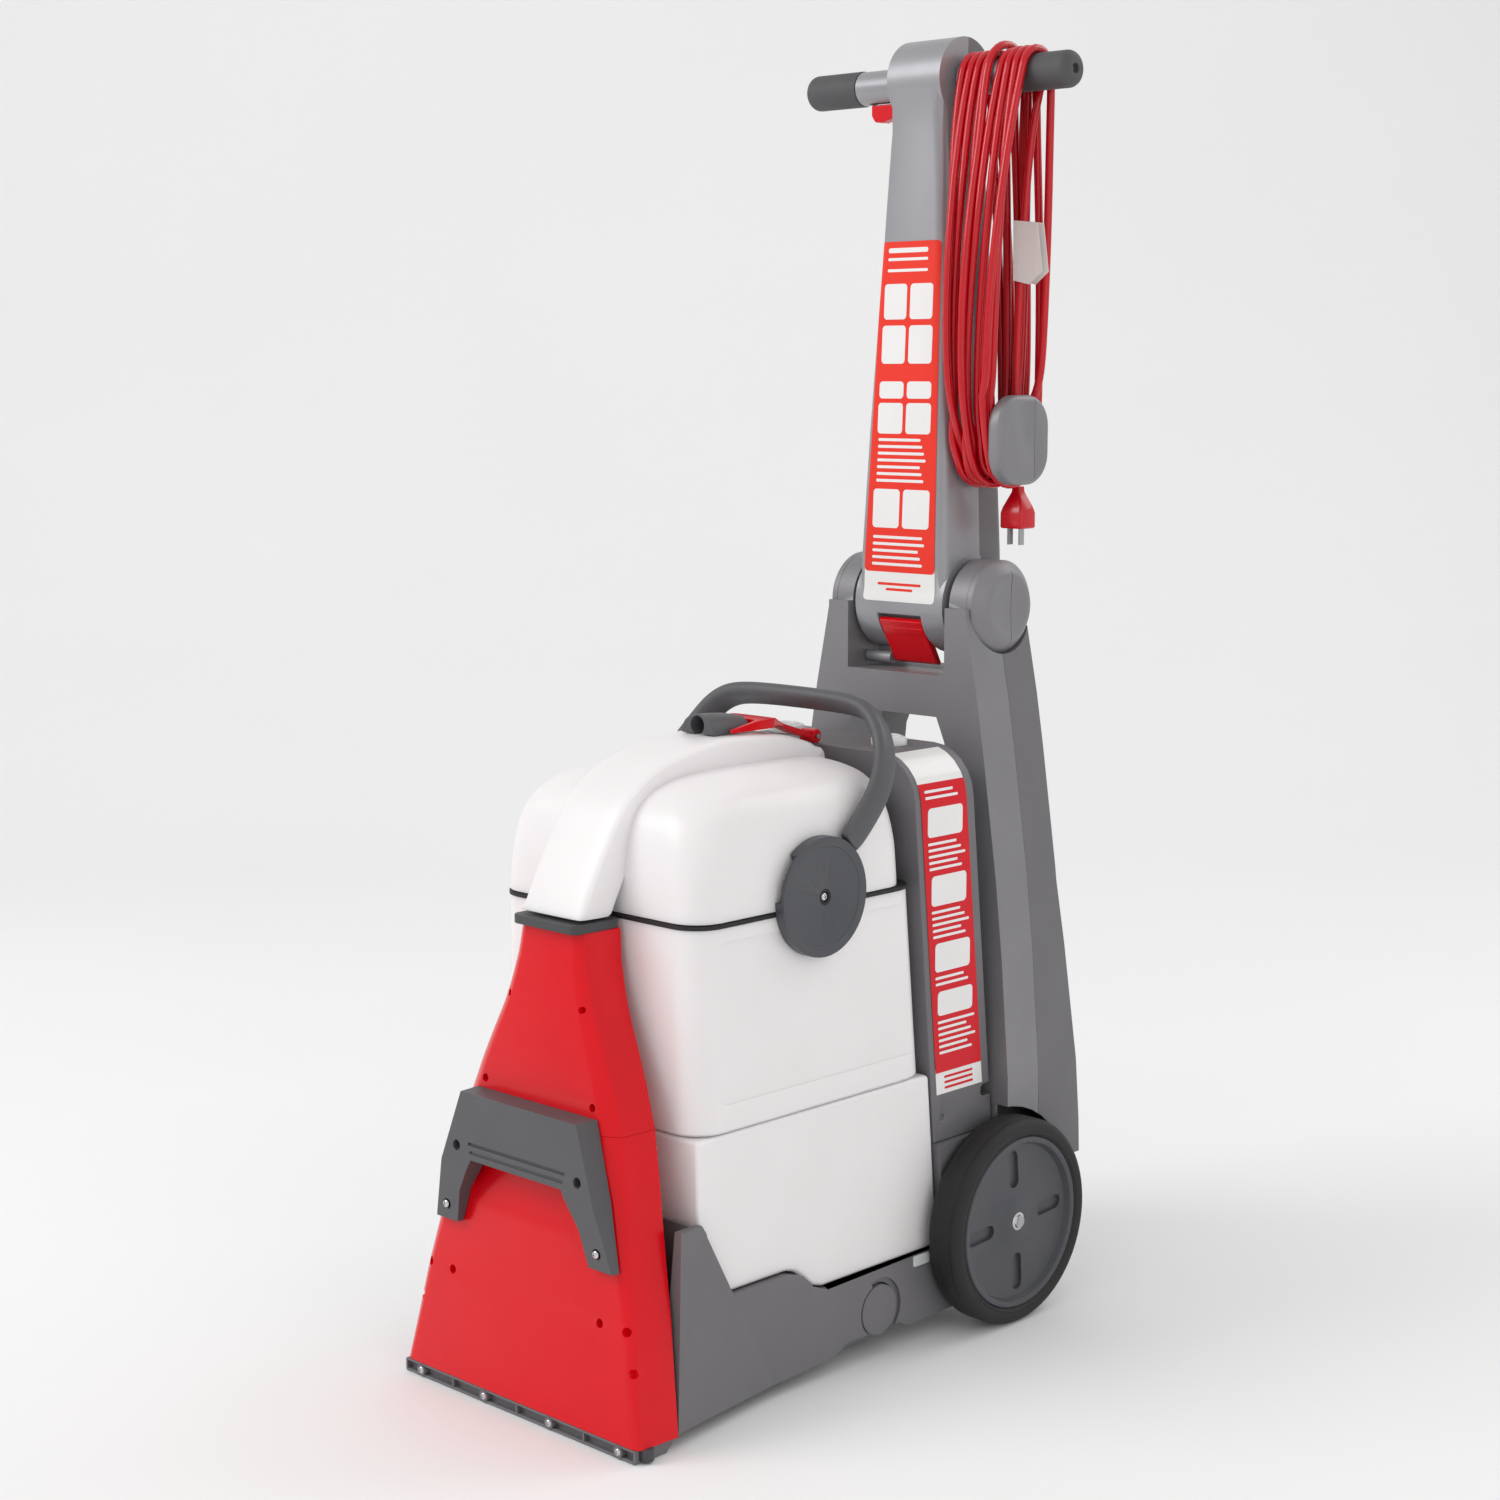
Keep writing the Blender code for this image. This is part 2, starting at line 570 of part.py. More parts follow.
def build_chassis():
    chassis = prism("chassis", CHASSIS_SIDE, "x", -BASE_HALF, BASE_HALF, "grey")
    for side, sign in (("left", -1), ("right", 1)):
        near, far = -0.2440, -0.1150
        flare = loft("flare_" + side, [
            [(sign * x, y, z) for x, y, z in ((0.1235, near, 0.0125), (0.1440, near, 0.0125),
                                              (0.1190 + 0.0110, -0.2265, 0.1715), (0.1235, -0.2265, 0.1715))],
            [(sign * x, y, z) for x, y, z in ((0.1235, far, 0.0125), (0.1281, far, 0.0125),
                                              (0.1281, -0.2010, 0.1715), (0.1235, -0.2010, 0.1715))]])
        join(chassis, flare)
    tub = [(WELL_FRONT, 0.30), (WELL_FRONT, 0.1040), (-0.0990, 0.1040), (-0.0810, 0.0985),
           (-0.0670, 0.0850), (-0.0500, 0.0786), (tank_rear(0.080) + 0.0008, 0.0786),
           (tank_rear(0.30) + 0.0008, 0.30)]
    tub_low = [(y, z - 0.0006) for y, z in tub[1:7]]
    cavity = prism("tank_well", [tub[0]] + tub_low + [tub[7]], "x", -BASE_INSIDE, BASE_INSIDE)
    under = [(-0.2300, 0.00), (-0.2300, 0.1000), (-0.1020, 0.1000), (-0.0870, 0.0945), (-0.0730, 0.0810),
             (-0.0560, 0.0745), (0.0460, 0.0745), (0.0460, 0.00)]
    tunnel = prism("deck_room", under, "x", -BASE_INSIDE, BASE_INSIDE)
    front = block("hood_room", (-BASE_INSIDE, -0.2600, 0.00), (BASE_INSIDE, WELL_FRONT - WALL, 0.30))
    motor_room = block("rear_room", (-0.1180, 0.0580, 0.00), (0.1180, 0.1930, 0.0735))
    base_room = block("base_room", (-0.1180, 0.1060, 0.0600), (0.1180, 0.1930, 0.20))
    cut(chassis, cavity, tunnel, front, motor_room, base_room)
    for side, sign in (("left", -1), ("right", 1)):
        cut(chassis, rod("pivot_hole_" + side, "x", (sign * 0.125, DECK_Y, DECK_Z), 0.0238, 0.03, None, 32))
    cut(chassis, rod("axle_hole", "x", (0, WHEEL_Y, WHEEL_R), AXLE_R + GAP, 0.30, None, 20))


# --- brush deck ---------------------------------------------------------------------------------

def deck_plate_outline():
    """The hull of a round boss at the pivot and a larger one at the brush."""
    front = arc(BRUSH_Y, BRUSH_Z + 0.0015, 0.0330, 95, 262, 12)
    rear = arc(DECK_Y, DECK_Z, 0.0200, -80, 85, 10)
    return front + rear


def build_deck():
    left = prism("brush_deck", deck_plate_outline(), "x", -0.1218, -0.1178, "grey", (0, DECK_Y, DECK_Z))
    right = prism("deck_side_right", deck_plate_outline(), "x", 0.1178, 0.1218)
    cover = arc(BRUSH_Y, BRUSH_Z, 0.0345, 20, 180, 14) + arc(BRUSH_Y, BRUSH_Z, 0.0320, 180, 20, 14)
    hood = prism("brush_cover", cover, "x", -0.1180, 0.1180)
    web = block("deck_web", (-0.1180, -0.1330, 0.0160), (0.1180, 0.0230, 0.0185))
    tail = rod("deck_tube", "x", (0, DECK_Y, DECK_Z), 0.0070, 0.2400, None, 20)
    shelf = block("deck_shelf", (-0.1180, DECK_Y - 0.002, 0.0160), (0.1180, DECK_Y + 0.002, 0.0400))
    join(left, right, hood, web, tail, shelf)
    cut(left, block("belt_gap", (BELT_X - 0.0065, -0.1480, 0.0195), (BELT_X + 0.0065, -0.0800, 0.0600)))
    cut(left, rod("brush_bore", "x", (0, BRUSH_Y, BRUSH_Z), 0.0053, 0.26, None, 20))
    for side, sign in (("left", -1), ("right", 1)):
        rod("pivot_disc_" + side, "x", (sign * 0.1255, DECK_Y, DECK_Z), 0.0225, 0.0068, "grey", 40)
    roll = [(0, 0.1214), (0.0050, 0.1214), (0.0050, 0.1172), (0.0120, 0.1172), (0.0120, 0.1130),
            (BRUSH_R, 0.1130), (BRUSH_R, -0.0940), (0.0120, -0.0940), (0.0120, -0.1172),
            (0.0050, -0.1172), (0.0050, -0.1214), (0, -0.1214)]
    turned("brush_roll", "x", (0, BRUSH_Y, BRUSH_Z), roll, "black", steps=32)
    rod("brush_motor", "x", (-0.0200, MOTOR_Y, MOTOR_Z), 0.0210, 0.1300, "steel", 32)
    pulley = [(0, 0.0100), (0.0080, 0.0100), (0.0080, -0.0050), (0.0040, -0.0050), (0.0040, -0.0140),
              (0, -0.0140)]
    turned("motor_pulley", "x", (BELT_X, MOTOR_Y, MOTOR_Z), pulley, "steel", steps=24)
    build_belt()


def build_belt():
    """A flat belt from the motor pulley to the grooved end of the brush."""
    def loop(extra):
        lean = math.degrees(math.atan2(MOTOR_Z - BRUSH_Z, MOTOR_Y - BRUSH_Y))
        small = arc(MOTOR_Y, MOTOR_Z, 0.0083 + extra, lean - 88, lean + 88, 8)
        return small + arc(BRUSH_Y, BRUSH_Z, 0.0123 + extra, lean + 88, lean + 272, 12)

    belt = prism("drive_belt", loop(0.0015), "x", BELT_X - 0.0040, BELT_X + 0.0040, "black")
    cut(belt, prism("belt_inside", loop(0), "x", BELT_X - 0.01, BELT_X + 0.01))


def build_nozzle():
    """Suction lip under the hood, its duct, and the spray bar behind it."""
    lip = [(-0.2760, 0.0040), (-0.2720, 0.0000), (-0.2560, 0.0000), (-0.2500, 0.0060), (-0.2500, 0.0117),
           (-0.2760, 0.0117)]
    nozzle = prism("suction_nozzle", lip, "x", -0.1425, 0.1425, "dark")
    cut(nozzle, block("suction_slot", (-0.1300, -0.2660, -0.01), (0.1300, -0.2600, 0.02)))
    rod("spray_nozzle", "z", (0, -0.2190, 0.0600), 0.0070, 0.0300, "brass", 16, 0.0050)


# --- wheels -----------------------------------------------------------------------------------------

def build_wheels():
    rod("axle", "x", (0, WHEEL_Y, WHEEL_R), AXLE_R, 0.3270, "steel", 20)
    slot = [(0.0320, 0.0055), (0.0600, 0.0055), (0.0655, 0), (0.0600, -0.0055), (0.0320, -0.0055),
            (0.0265, 0)]
    for side, sign in (("left", -1), ("right", 1)):
        centre = (sign * (WHEEL_IN + WHEEL_OUT) / 2, WHEEL_Y, WHEEL_R)
        w = (WHEEL_OUT - WHEEL_IN) / 2
        section = [(HUB_R + GAP, w - 0.0030), (HUB_R + 0.0060, w)]
        section += arc(WHEEL_R - 0.0095, w - 0.0095, 0.0095, 75, 0, 4)
        section += arc(WHEEL_R - 0.0095, -w + 0.0095, 0.0095, 0, -75, 4)
        section += [(HUB_R + 0.0060, -w), (HUB_R + GAP, -w + 0.0030)]
        turned("tyre_" + side, "x", centre, section, "black", closed=True, steps=48)
        face = w - 0.0060
        profile = [(AXLE_R + GAP, face), (0.0150, face), (0.0170, face - 0.0020), (0.0700, face - 0.0020),
                   (0.0720, w - 0.0032), (HUB_R, w - 0.0032), (HUB_R, -w + 0.0032), (0.0720, -w + 0.0032),
                   (0.0700, face - 0.0060), (0.0170, face - 0.0060), (0.0150, -w - 0.0010),
                   (AXLE_R + GAP, -w - 0.0010)]
        if sign < 0:
            profile = [(r, -h) for r, h in reversed(profile)]
        hub = turned("hub_" + side, "x", centre, profile, "dark", closed=True, steps=48)
        for i in range(4):
            turned_slot = Matrix.Rotation(math.pi / 2 * i + math.radians(2.0), 2)
            outline = [turned_slot @ Vector(p) + Vector((WHEEL_Y, WHEEL_R)) for p in slot]
            cut(hub, prism(f"hub_slot_{side}_{i}", outline, "x", *sorted((sign * 0.1280, sign * 0.1700))))
        rod("push_nut_" + side, "x", (sign * 0.1648, WHEEL_Y, WHEEL_R), 0.0075, 0.0020, "steel", 20)


# --- frame ---------------------------------------------------------------------------------------------

def frame_outline(inset=0.0):
    """The A frame seen from the front, from the bottom right round to the bottom left."""
    right = [(u - inset, v) for u, v in FRAME_EDGE]
    right[0] = (right[0][0], FRAME_BOTTOM + inset)
    right += [(right[-1][0], 0.6700), (BOSS_IN + inset, 0.6700), (BOSS_IN + inset, FRAME_BAR[1] - inset)]
    return mirrored(right)


def window_outline(grow=0.0):
    right = [(0.0950 + grow, 0.1000), (0.0850 + grow, 0.3000), (0.0600 + grow, 0.5200),
             (0.0500, FRAME_BAR[0] + grow)]
    return mirrored(right)


def frame_rear_y(z):
    return between([(0.2870, 0.13), (0.2860, 0.1620), (0.2670, 0.3900), (0.2660, 0.6700)], z)


def arch(obj, radius):
    """Wheel arches in the feet of the legs."""
    for side, sign in (("left", -1), ("right", 1)):
        centre = (sign * 0.1500, WHEEL_Y, WHEEL_R)
        cut(obj, rod(f"arch_{obj.name}_{side}", "x", centre, radius, 0.0500, None, 40))


def build_frame():
    front = prism("frame_front", frame_outline(), "y", FRAME_FRONT, FRAME_SEAM - GAP / 2, "silver")
    cut(front, prism("front_window", window_outline(), "y", 0.10, 0.40))
    pocket = prism("front_pocket", frame_outline(WALL), "y", FRAME_FRONT + WALL, 0.30)
    cut(pocket, prism("pocket_window", window_outline(WALL), "y", 0.10, 0.40))
    top = block("cheek_room", (-0.2, 0.10, 0.6000), (0.2, 0.40, 0.80))
    cut(pocket, top)
    cut(front, pocket)
    trim = rod("barrel_trim", "x", (0, HINGE_Y, HINGE_Z), BOSS_R - 0.0006, 0.30, None, 40)
    crown = block("crown", (-0.2, 0.10, HINGE_Z), (0.2, 0.40, 0.80))
    cut(crown, trim)
    cap_rooms = []
    for side, sign in (("left", -1), ("right", 1)):
        cap_rooms.append(rod("cap_room_" + side, "x", (sign * (BOSS_OUT + GAP + 0.02), HINGE_Y, HINGE_Z),
                             BOSS_R + GAP, 0.0400, None, 48))
    cut(front, crown, *cap_rooms)
    for side, sign in (("left", -1), ("right", 1)):
        barrel = rod("barrel_" + side, "x", (sign * (BOSS_IN + BOSS_OUT - 0.0003) / 2, HINGE_Y, HINGE_Z),
                     BOSS_R, BOSS_OUT - BOSS_IN + 0.0003, None, 48)
        join(front, barrel)
    bore = rod("pin_bore", "x", (0, HINGE_Y, HINGE_Z), PIN_R + GAP, 0.30, None, 32)
    cut(front, bore)
    arch(front, 0.1010)
    build_frame_rear(crown, cap_rooms)


def build_frame_rear(crown, cap_rooms):
    rear = prism("frame_rear", frame_outline(), "y", FRAME_SEAM + GAP / 2, 0.2950, "grey")
    slope = [(0.3200, 0.1000), (0.3200, 0.7000)] + [(frame_rear_y(z), z) for z in (0.7000, 0.39, 0.162, 0.10)]
    cut(rear, prism("rear_slope", slope, "x", -0.2, 0.2))
    cut(rear, prism("rear_window", window_outline(), "y", 0.10, 0.40))
    pocket = prism("rear_pocket", frame_outline(WALL), "y", 0.20, 0.3500)
    inner = [(y - WALL, z) for y, z in slope]
    cut(pocket, prism("rear_inner", [(0.36, 0.10), (0.36, 0.70)] + inner[2:], "x", -0.2, 0.2))
    cut(pocket, prism("rear_pocket_window", window_outline(WALL), "y", 0.10, 0.40))
    cut(pocket, block("rear_cheek", (-0.2, 0.10, 0.5950), (0.2, 0.40, 0.80)))
    cut(rear, pocket, crown, *cap_rooms)
    cut(rear, rod("barrel_room", "x", (0, HINGE_Y, HINGE_Z), BOSS_R + GAP, 0.30, None, 48))
    arch(rear, 0.1010)


def build_hinge():
    rod("hinge_pin", "x", (0, HINGE_Y, HINGE_Z), PIN_R, 0.1640, "steel", 32)
    low, high = BOSS_OUT + GAP, CAP_OUT
    half = (high - low) / 2
    for side, sign in (("left", -1), ("right", 1)):
        profile = [(0, half), (BOSS_R - 0.0040, half), (BOSS_R, half - 0.0040), (BOSS_R, -half),
                   (BOSS_R - 0.0045, -half), (BOSS_R - 0.0045, half - 0.0045), (0, half - 0.0045)]
        if sign < 0:
            profile = [(r, -h) for r, h in reversed(profile)]
        turned("boss_cap_" + side, "x", (sign * (low + high) / 2, HINGE_Y, HINGE_Z), profile, "grey", steps=48)


# --- handle ------------------------------------------------------------------------------------------------

HANDLE_STATIONS = [(0.6430, 0.0525, 0.1840, 0.2735), (0.6900, 0.0512, 0.1842, 0.2735),
                   (0.8000, 0.0470, 0.1890, 0.2710), (0.9700, 0.0379, 0.1965, 0.2680),
                   (1.0300, 0.0345, 0.1985, 0.2660), (1.0700, 0.0312, 0.1990, 0.2650),
                   (1.1155, 0.0310, 0.1980, 0.2700)]


def handle_rings(inset, keep):
    rings = []
    for z, half, front, rear in keep:
        rings.append(rounded(half - inset, front + inset, rear - inset, 0.010 - inset, z, 3))
    return rings


def build_handle_half(name, colour, front_half):
    """One shell of the handle: the whole form, cut at the seam and hollowed."""
    body = loft(name, handle_rings(0, HANDLE_STATIONS), colour)
    barrel = rod(name + "_foot", "x", (0, HINGE_Y, HINGE_Z), HANDLE_BARREL_R, HANDLE_HALF * 2, None, 48)
    head = rod(name + "_head", "x", (0, BAR_Y, BAR_Z), HEAD_R, HEAD_HALF * 2, None, 48)
    stem = block(name + "_stem", (0.0300, HOOK_Y - 0.0070, HOOK_Z - 0.0110),
                 (0.1000, HOOK_Y + 0.0160, HOOK_Z + 0.0110))
    plate = hook_plate(name + "_plate")
    join(body, barrel, head, stem, plate)
    if front_half:
        away = block(name + "_seam", (-0.3, HANDLE_SEAM - GAP / 2, 0.4), (0.3, 0.4, 1.3))
    else:
        away = block(name + "_seam", (-0.3, 0.1, 0.4), (0.3, HANDLE_SEAM + GAP / 2, 1.3))
    hollow_stations = [(z, h, f, r) for z, h, f, r in HANDLE_STATIONS if 0.68 < z < 1.08]
    hollow = loft(name + "_hollow", handle_rings(WALL, hollow_stations))
    bar_bore = rod(name + "_bar_bore", "x", (0, BAR_Y, BAR_Z), BAR_R + GAP, 0.20, None, 32)
    pin_bore = rod(name + "_pin_bore", "x", (0, HINGE_Y, HINGE_Z), PIN_R + GAP, 0.20, None, 32)
    cut(body, away, hollow, bar_bore, pin_bore)
    return body


def hook_plate(name):
    """The rounded plate at the end of the cord hook's stem."""
    dy, dz, r = 0.0360, 0.0400, 0.0280
    outline = []
    for sy, sz, start in ((1, 1, 0), (-1, 1, 90), (-1, -1, 180), (1, -1, 270)):
        outline += arc(HOOK_Y + sy * (dy - r), HOOK_Z + sz * (dz - r), r, start, start + 90, 5)
    return prism(name, outline, "x", 0.0970, 0.1130)


def build_handle():
    front = build_handle_half("handle_front", "silver", True)
    rear = build_handle_half("handle_rear", "grey", False)
    # the groove in the foot lets the handle swing past the latch plate
    groove = arc(HINGE_Y, HINGE_Z, 0.0600, 192, 315, 16) + arc(HINGE_Y, HINGE_Z, 0.0365, 315, 192, 16)
    for shell in (front, rear):
        cut(shell, prism(shell.name + "_groove", groove, "x", -0.0262, 0.0262))
    well = block("switch_well", (-0.0102, 0.2560, 0.9300), (0.0102, 0.2900, 0.9600))
    cut(rear, well)
    plate = [(0.1880, 0.6300), (0.1850, 0.6270), (0.2080, 0.5880), (0.2130, 0.5860), (0.2150, 0.5885),
             (0.1930, 0.6285)]
    prism("release_latch", plate, "x", -0.0256, 0.0256, "red", (0, 0.1900, 0.6270))
    rocker = [(0.2655, 0.9330), (0.2690, 0.9330), (0.2660, 0.9450), (0.2690, 0.9570), (0.2655, 0.9570)]
    prism("power_switch", rocker, "x", -0.0095, 0.0095, "red", (0, 0.2620, 0.9450))


def build_bar():
    """The T-bar with its two sleeves, its two grips and the spray trigger."""
    rod("t_bar", "x", (0, BAR_Y, BAR_Z), BAR_R, BAR_HALF * 2, "steel", 32)
    for side, sign in (("left", -1), ("right", 1)):
        length = COLLAR_END - HEAD_HALF - 2 * GAP
        middle = sign * (COLLAR_END + HEAD_HALF) / 2
        collar = turned("bar_collar_" + side, "x", (middle, BAR_Y, BAR_Z),
                        [(BAR_R + GAP, length / 2), (0.0155, length / 2), (0.0155, -length / 2),
                         (BAR_R + GAP, -length / 2)], "silver", closed=True, steps=32)
        if sign < 0:
            cut(collar, block("trigger_slot", (-0.0800, BAR_Y - 0.0060, 1.09),
                              (-0.0340, BAR_Y + 0.0060, 1.1050)))
        run = (GRIP_END - COLLAR_END) / 2
        centre = (sign * (GRIP_END + COLLAR_END) / 2, BAR_Y, BAR_Z)
        profile = [(0.0040, run), (GRIP_R - 0.0050, run), (GRIP_R - 0.0014, run - 0.0018),
                   (GRIP_R, run - 0.0055), (GRIP_R, -run), (BAR_R + GAP, -run),
                   (BAR_R + GAP, run - 0.0037), (0.0040, run - 0.0037)]
        if sign < 0:
            profile = [(r, -h) for r, h in reversed(profile)]
        turned("grip_" + side, "x", centre, profile, "black", closed=True, steps=32)
    lug = [(-0.0360, 1.0995), (-0.0780, 1.0995), (-0.0780, 1.0900), (-0.0740, 1.0840), (-0.0640, 1.0830),
           (-0.0480, 1.0880), (-0.0360, 1.0920)]
    prism("trigger", lug, "y", BAR_Y - 0.0055, BAR_Y + 0.0055, "red", (-0.0360, BAR_Y, 1.0960))


# --- power cord ---------------------------------------------------------------------------------------------

def hank_outline():
    """The hank from the side: over the grip, bulging, gathered under the hook."""
    bulge = [(0.0360, 1.0600), (0.0500, 0.9800), (0.0560, 0.9000), (0.0540, 0.8300), (0.0420, 0.7800)]
    top = arc(BAR_Y - 0.002, BAR_Z + 0.004, 0.0310, 0, 180, 12)
    front = [(0.2300 - d, z) for d, z in bulge]
    rear = [(0.2270 + d * 0.85, z) for d, z in reversed(bulge)]
    low = arc(HOOK_Y, HANK_BOTTOM + 0.0320, 0.0320, 200, 340, 8)
    return top + front + low + rear


def hank_hole():
    """The gap through the middle of the hank, round the grip, the hook's stem and the plug's strand."""
    top = arc(BAR_Y, BAR_Z, GRIP_R + 0.0006, 0, 180, 12)
    front = [(0.2080, 1.0600), (0.2050, 0.9800), (0.2030, 0.9000), (0.2050, 0.8300)]
    low = arc(HOOK_Y + 0.0060, HOOK_Z - 0.0060, 0.0240, 190, 350, 8)
    rear = [(0.2530, 0.8300), (0.2530, 0.9000), (0.2520, 0.9800), (0.2500, 1.0600)]
    return top + front + low + rear


def build_cord():
    """The cord: a lead from the strain relief, the wound hank, the hanging end and its plug."""
    hank = prism("cord_hank", hank_outline(), "x", HANK_IN_X, HANK_OUT_X, "cord")
    taper_from = HOOK_Z + 0.0450
    for vert in hank.data.vertices:
        share = max(0.0, (vert.co.z - taper_from) / (HANK_TOP - taper_from))
        if vert.co.x < (HANK_IN_X + HANK_OUT_X) / 2:
            vert.co.x = HANK_LOW_IN + (HANK_IN_X - HANK_LOW_IN) * share
        else:
            vert.co.x = HANK_LOW_OUT + (HANK_OUT_X - HANK_LOW_OUT) * share
    cut(hank, prism("hank_hole", hank_hole(), "x", 0.0, 0.2))
    relief = [(0, 0), (0.0070, 0), (0.0070, -0.0080), (0.0052, -RELIEF_LENGTH), (0, -RELIEF_LENGTH)]
    turned("strain_relief", "z", (RELIEF_X, RELIEF_Y, RELIEF_TOP), relief, "black", steps=20)
    block("cord_inlet", (RELIEF_X - 0.0070, 0.2698, RELIEF_TOP + GAP), (RELIEF_X + 0.0070, 0.2900, 0.9500),
          "grey")
    lead = [(RELIEF_X, RELIEF_Y, RELIEF_TOP - RELIEF_LENGTH - GAP), (RELIEF_X, RELIEF_Y, 0.8640),
            (0.0425, 0.2808, 0.8400), (0.0495, 0.2800, 0.8130), (0.0575, 0.2730, 0.7910),
            (0.0615, 0.2668, 0.7760)]
    tube("supply_lead", smooth_route(lead, 0.008), CORD_R, "cord")
    hanging = [(PLUG_X, 0.2446, 1.0950), (PLUG_X, 0.2446, 0.9600), (PLUG_X, 0.2447, 0.8300),
               (PLUG_X, 0.2462, 0.7750)]
    tube("plug_strand", smooth_route(hanging, 0.016), CORD_R, "cord")
    build_plug()


def build_plug():
    """The moulded plug at the cord's end: a tapered body, two flat blades and an earth pin."""
    body = loft("cord_plug", [
        [(PLUG_X + x, PLUG_Y + y, z) for x, y, z in rounded(half, -deep, deep, 0.0060, z, 3)]
        for half, deep, z in ((0.0130, 0.0115, PLUG_LOW), (0.0130, 0.0115, PLUG_LOW + 0.0120),
                              (0.0085, 0.0090, PLUG_LOW + 0.0260), (0.0062, 0.0062, PLUG_TOP))], "cord")
    blade_end = PLUG_LOW - 0.0145
    for side in (-1, 1):
        x = PLUG_X + side * 0.0060
        join(body, block(f"blade_{side}", (x - 0.0008, PLUG_Y - 0.0060, blade_end),
                         (x + 0.0008, PLUG_Y + 0.0003, PLUG_LOW + 0.0020)))
    join(body, rod("earth_pin", "z", (PLUG_X, PLUG_Y + 0.0065, PLUG_LOW - 0.0060), 0.0024, 0.0170, None, 16))


def build():
    build_hood()
    build_front_grip()
    build_tanks()
    build_lid()
    build_lid_top()
    build_carry_handle()
    build_rear_housing()
    build_chassis()
    build_deck()
    build_nozzle()
    build_wheels()
    build_frame()
    build_hinge()
    build_handle()
    build_bar()
    build_cord()


build()
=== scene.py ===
"""The looks of the upright carpet extractor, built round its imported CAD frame.

Every place comes from the CAD nodes' boxes. Distances are in metres, in the shared frame.
"""

import json
import math

import bmesh
import bpy
import numpy as np
from mathutils import Matrix, Vector
from mathutils.bvhtree import BVHTree


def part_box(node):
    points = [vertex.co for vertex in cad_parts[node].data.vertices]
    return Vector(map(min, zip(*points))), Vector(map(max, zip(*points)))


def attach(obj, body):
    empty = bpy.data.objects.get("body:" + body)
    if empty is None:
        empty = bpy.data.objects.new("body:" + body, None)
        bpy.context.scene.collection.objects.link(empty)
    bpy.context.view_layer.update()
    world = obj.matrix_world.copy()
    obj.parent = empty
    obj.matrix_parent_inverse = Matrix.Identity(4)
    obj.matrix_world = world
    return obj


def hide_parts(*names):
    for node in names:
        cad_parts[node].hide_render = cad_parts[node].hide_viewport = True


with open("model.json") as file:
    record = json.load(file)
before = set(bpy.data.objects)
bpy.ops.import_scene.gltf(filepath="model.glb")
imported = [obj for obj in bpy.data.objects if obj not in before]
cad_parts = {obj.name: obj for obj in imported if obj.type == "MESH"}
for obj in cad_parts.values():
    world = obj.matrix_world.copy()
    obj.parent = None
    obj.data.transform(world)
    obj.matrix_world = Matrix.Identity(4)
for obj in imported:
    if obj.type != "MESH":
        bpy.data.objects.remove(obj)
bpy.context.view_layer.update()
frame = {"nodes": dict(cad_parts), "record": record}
BOX = {name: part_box(name) for name in frame["nodes"]}
NODES = frame["nodes"]
BODY_OF = {node: body for body, nodes in frame["record"]["behaviour"]["bodies"].items() for node in nodes}
PIECES = bpy.data.collections.new("pieces")
bpy.context.scene.collection.children.link(PIECES)


def low(node):
    return BOX[node][0]


def high(node):
    return BOX[node][1]


def middle(node):
    return (BOX[node][0] + BOX[node][1]) / 2


def half_size(node):
    """Half of a node's width, depth and height."""
    return [(b - a) / 2 for a, b in zip(low(node), high(node))]


SIDES = (("left", -1), ("right", 1))
SAME_SPOT = 0.000005            # vertices closer than this are one
FLAT_WITHIN = math.radians(0.08)    # faces that turn less than this are one flat
TANK_LEAN = 0.0966              # the tanks' rear faces lean forward, per metre of height
TANK_FOOT = 0.080
AZIMUTH = math.radians(44.1)    # the camera's turn about the machine


# --- materials --------------------------------------------------------------------------------

def tone(code):
    """An sRGB hex colour as linear values."""
    def linear(v):
        return v / 12.92 if v <= 0.04045 else ((v + 0.055) / 1.055) ** 2.4
    return tuple(linear(int(code[i:i + 2], 16) / 255) for i in (1, 3, 5)) + (1.0,)


def feed(mat, node, inputs):
    """Set a node's inputs: constants, or the sockets that feed them."""
    for key, value in inputs.items():
        if isinstance(value, bpy.types.NodeSocket):
            mat.node_tree.links.new(value, node.inputs[key])
        else:
            node.inputs[key].default_value = value
    return node


def add(mat, kind, inputs=None, **settings):
    """Add a shader node with its settings and inputs."""
    node = mat.node_tree.nodes.new(kind)
    for key, value in settings.items():
        setattr(node, key, value)
    return feed(mat, node, inputs or {})


def shader_of(mat, inputs):
    """Set inputs on the material's Principled shader."""
    feed(mat, mat.node_tree.nodes["Principled BSDF"], inputs)


def blank(name):
    mat = bpy.data.materials.new(name)
    mat.use_nodes = True
    return mat


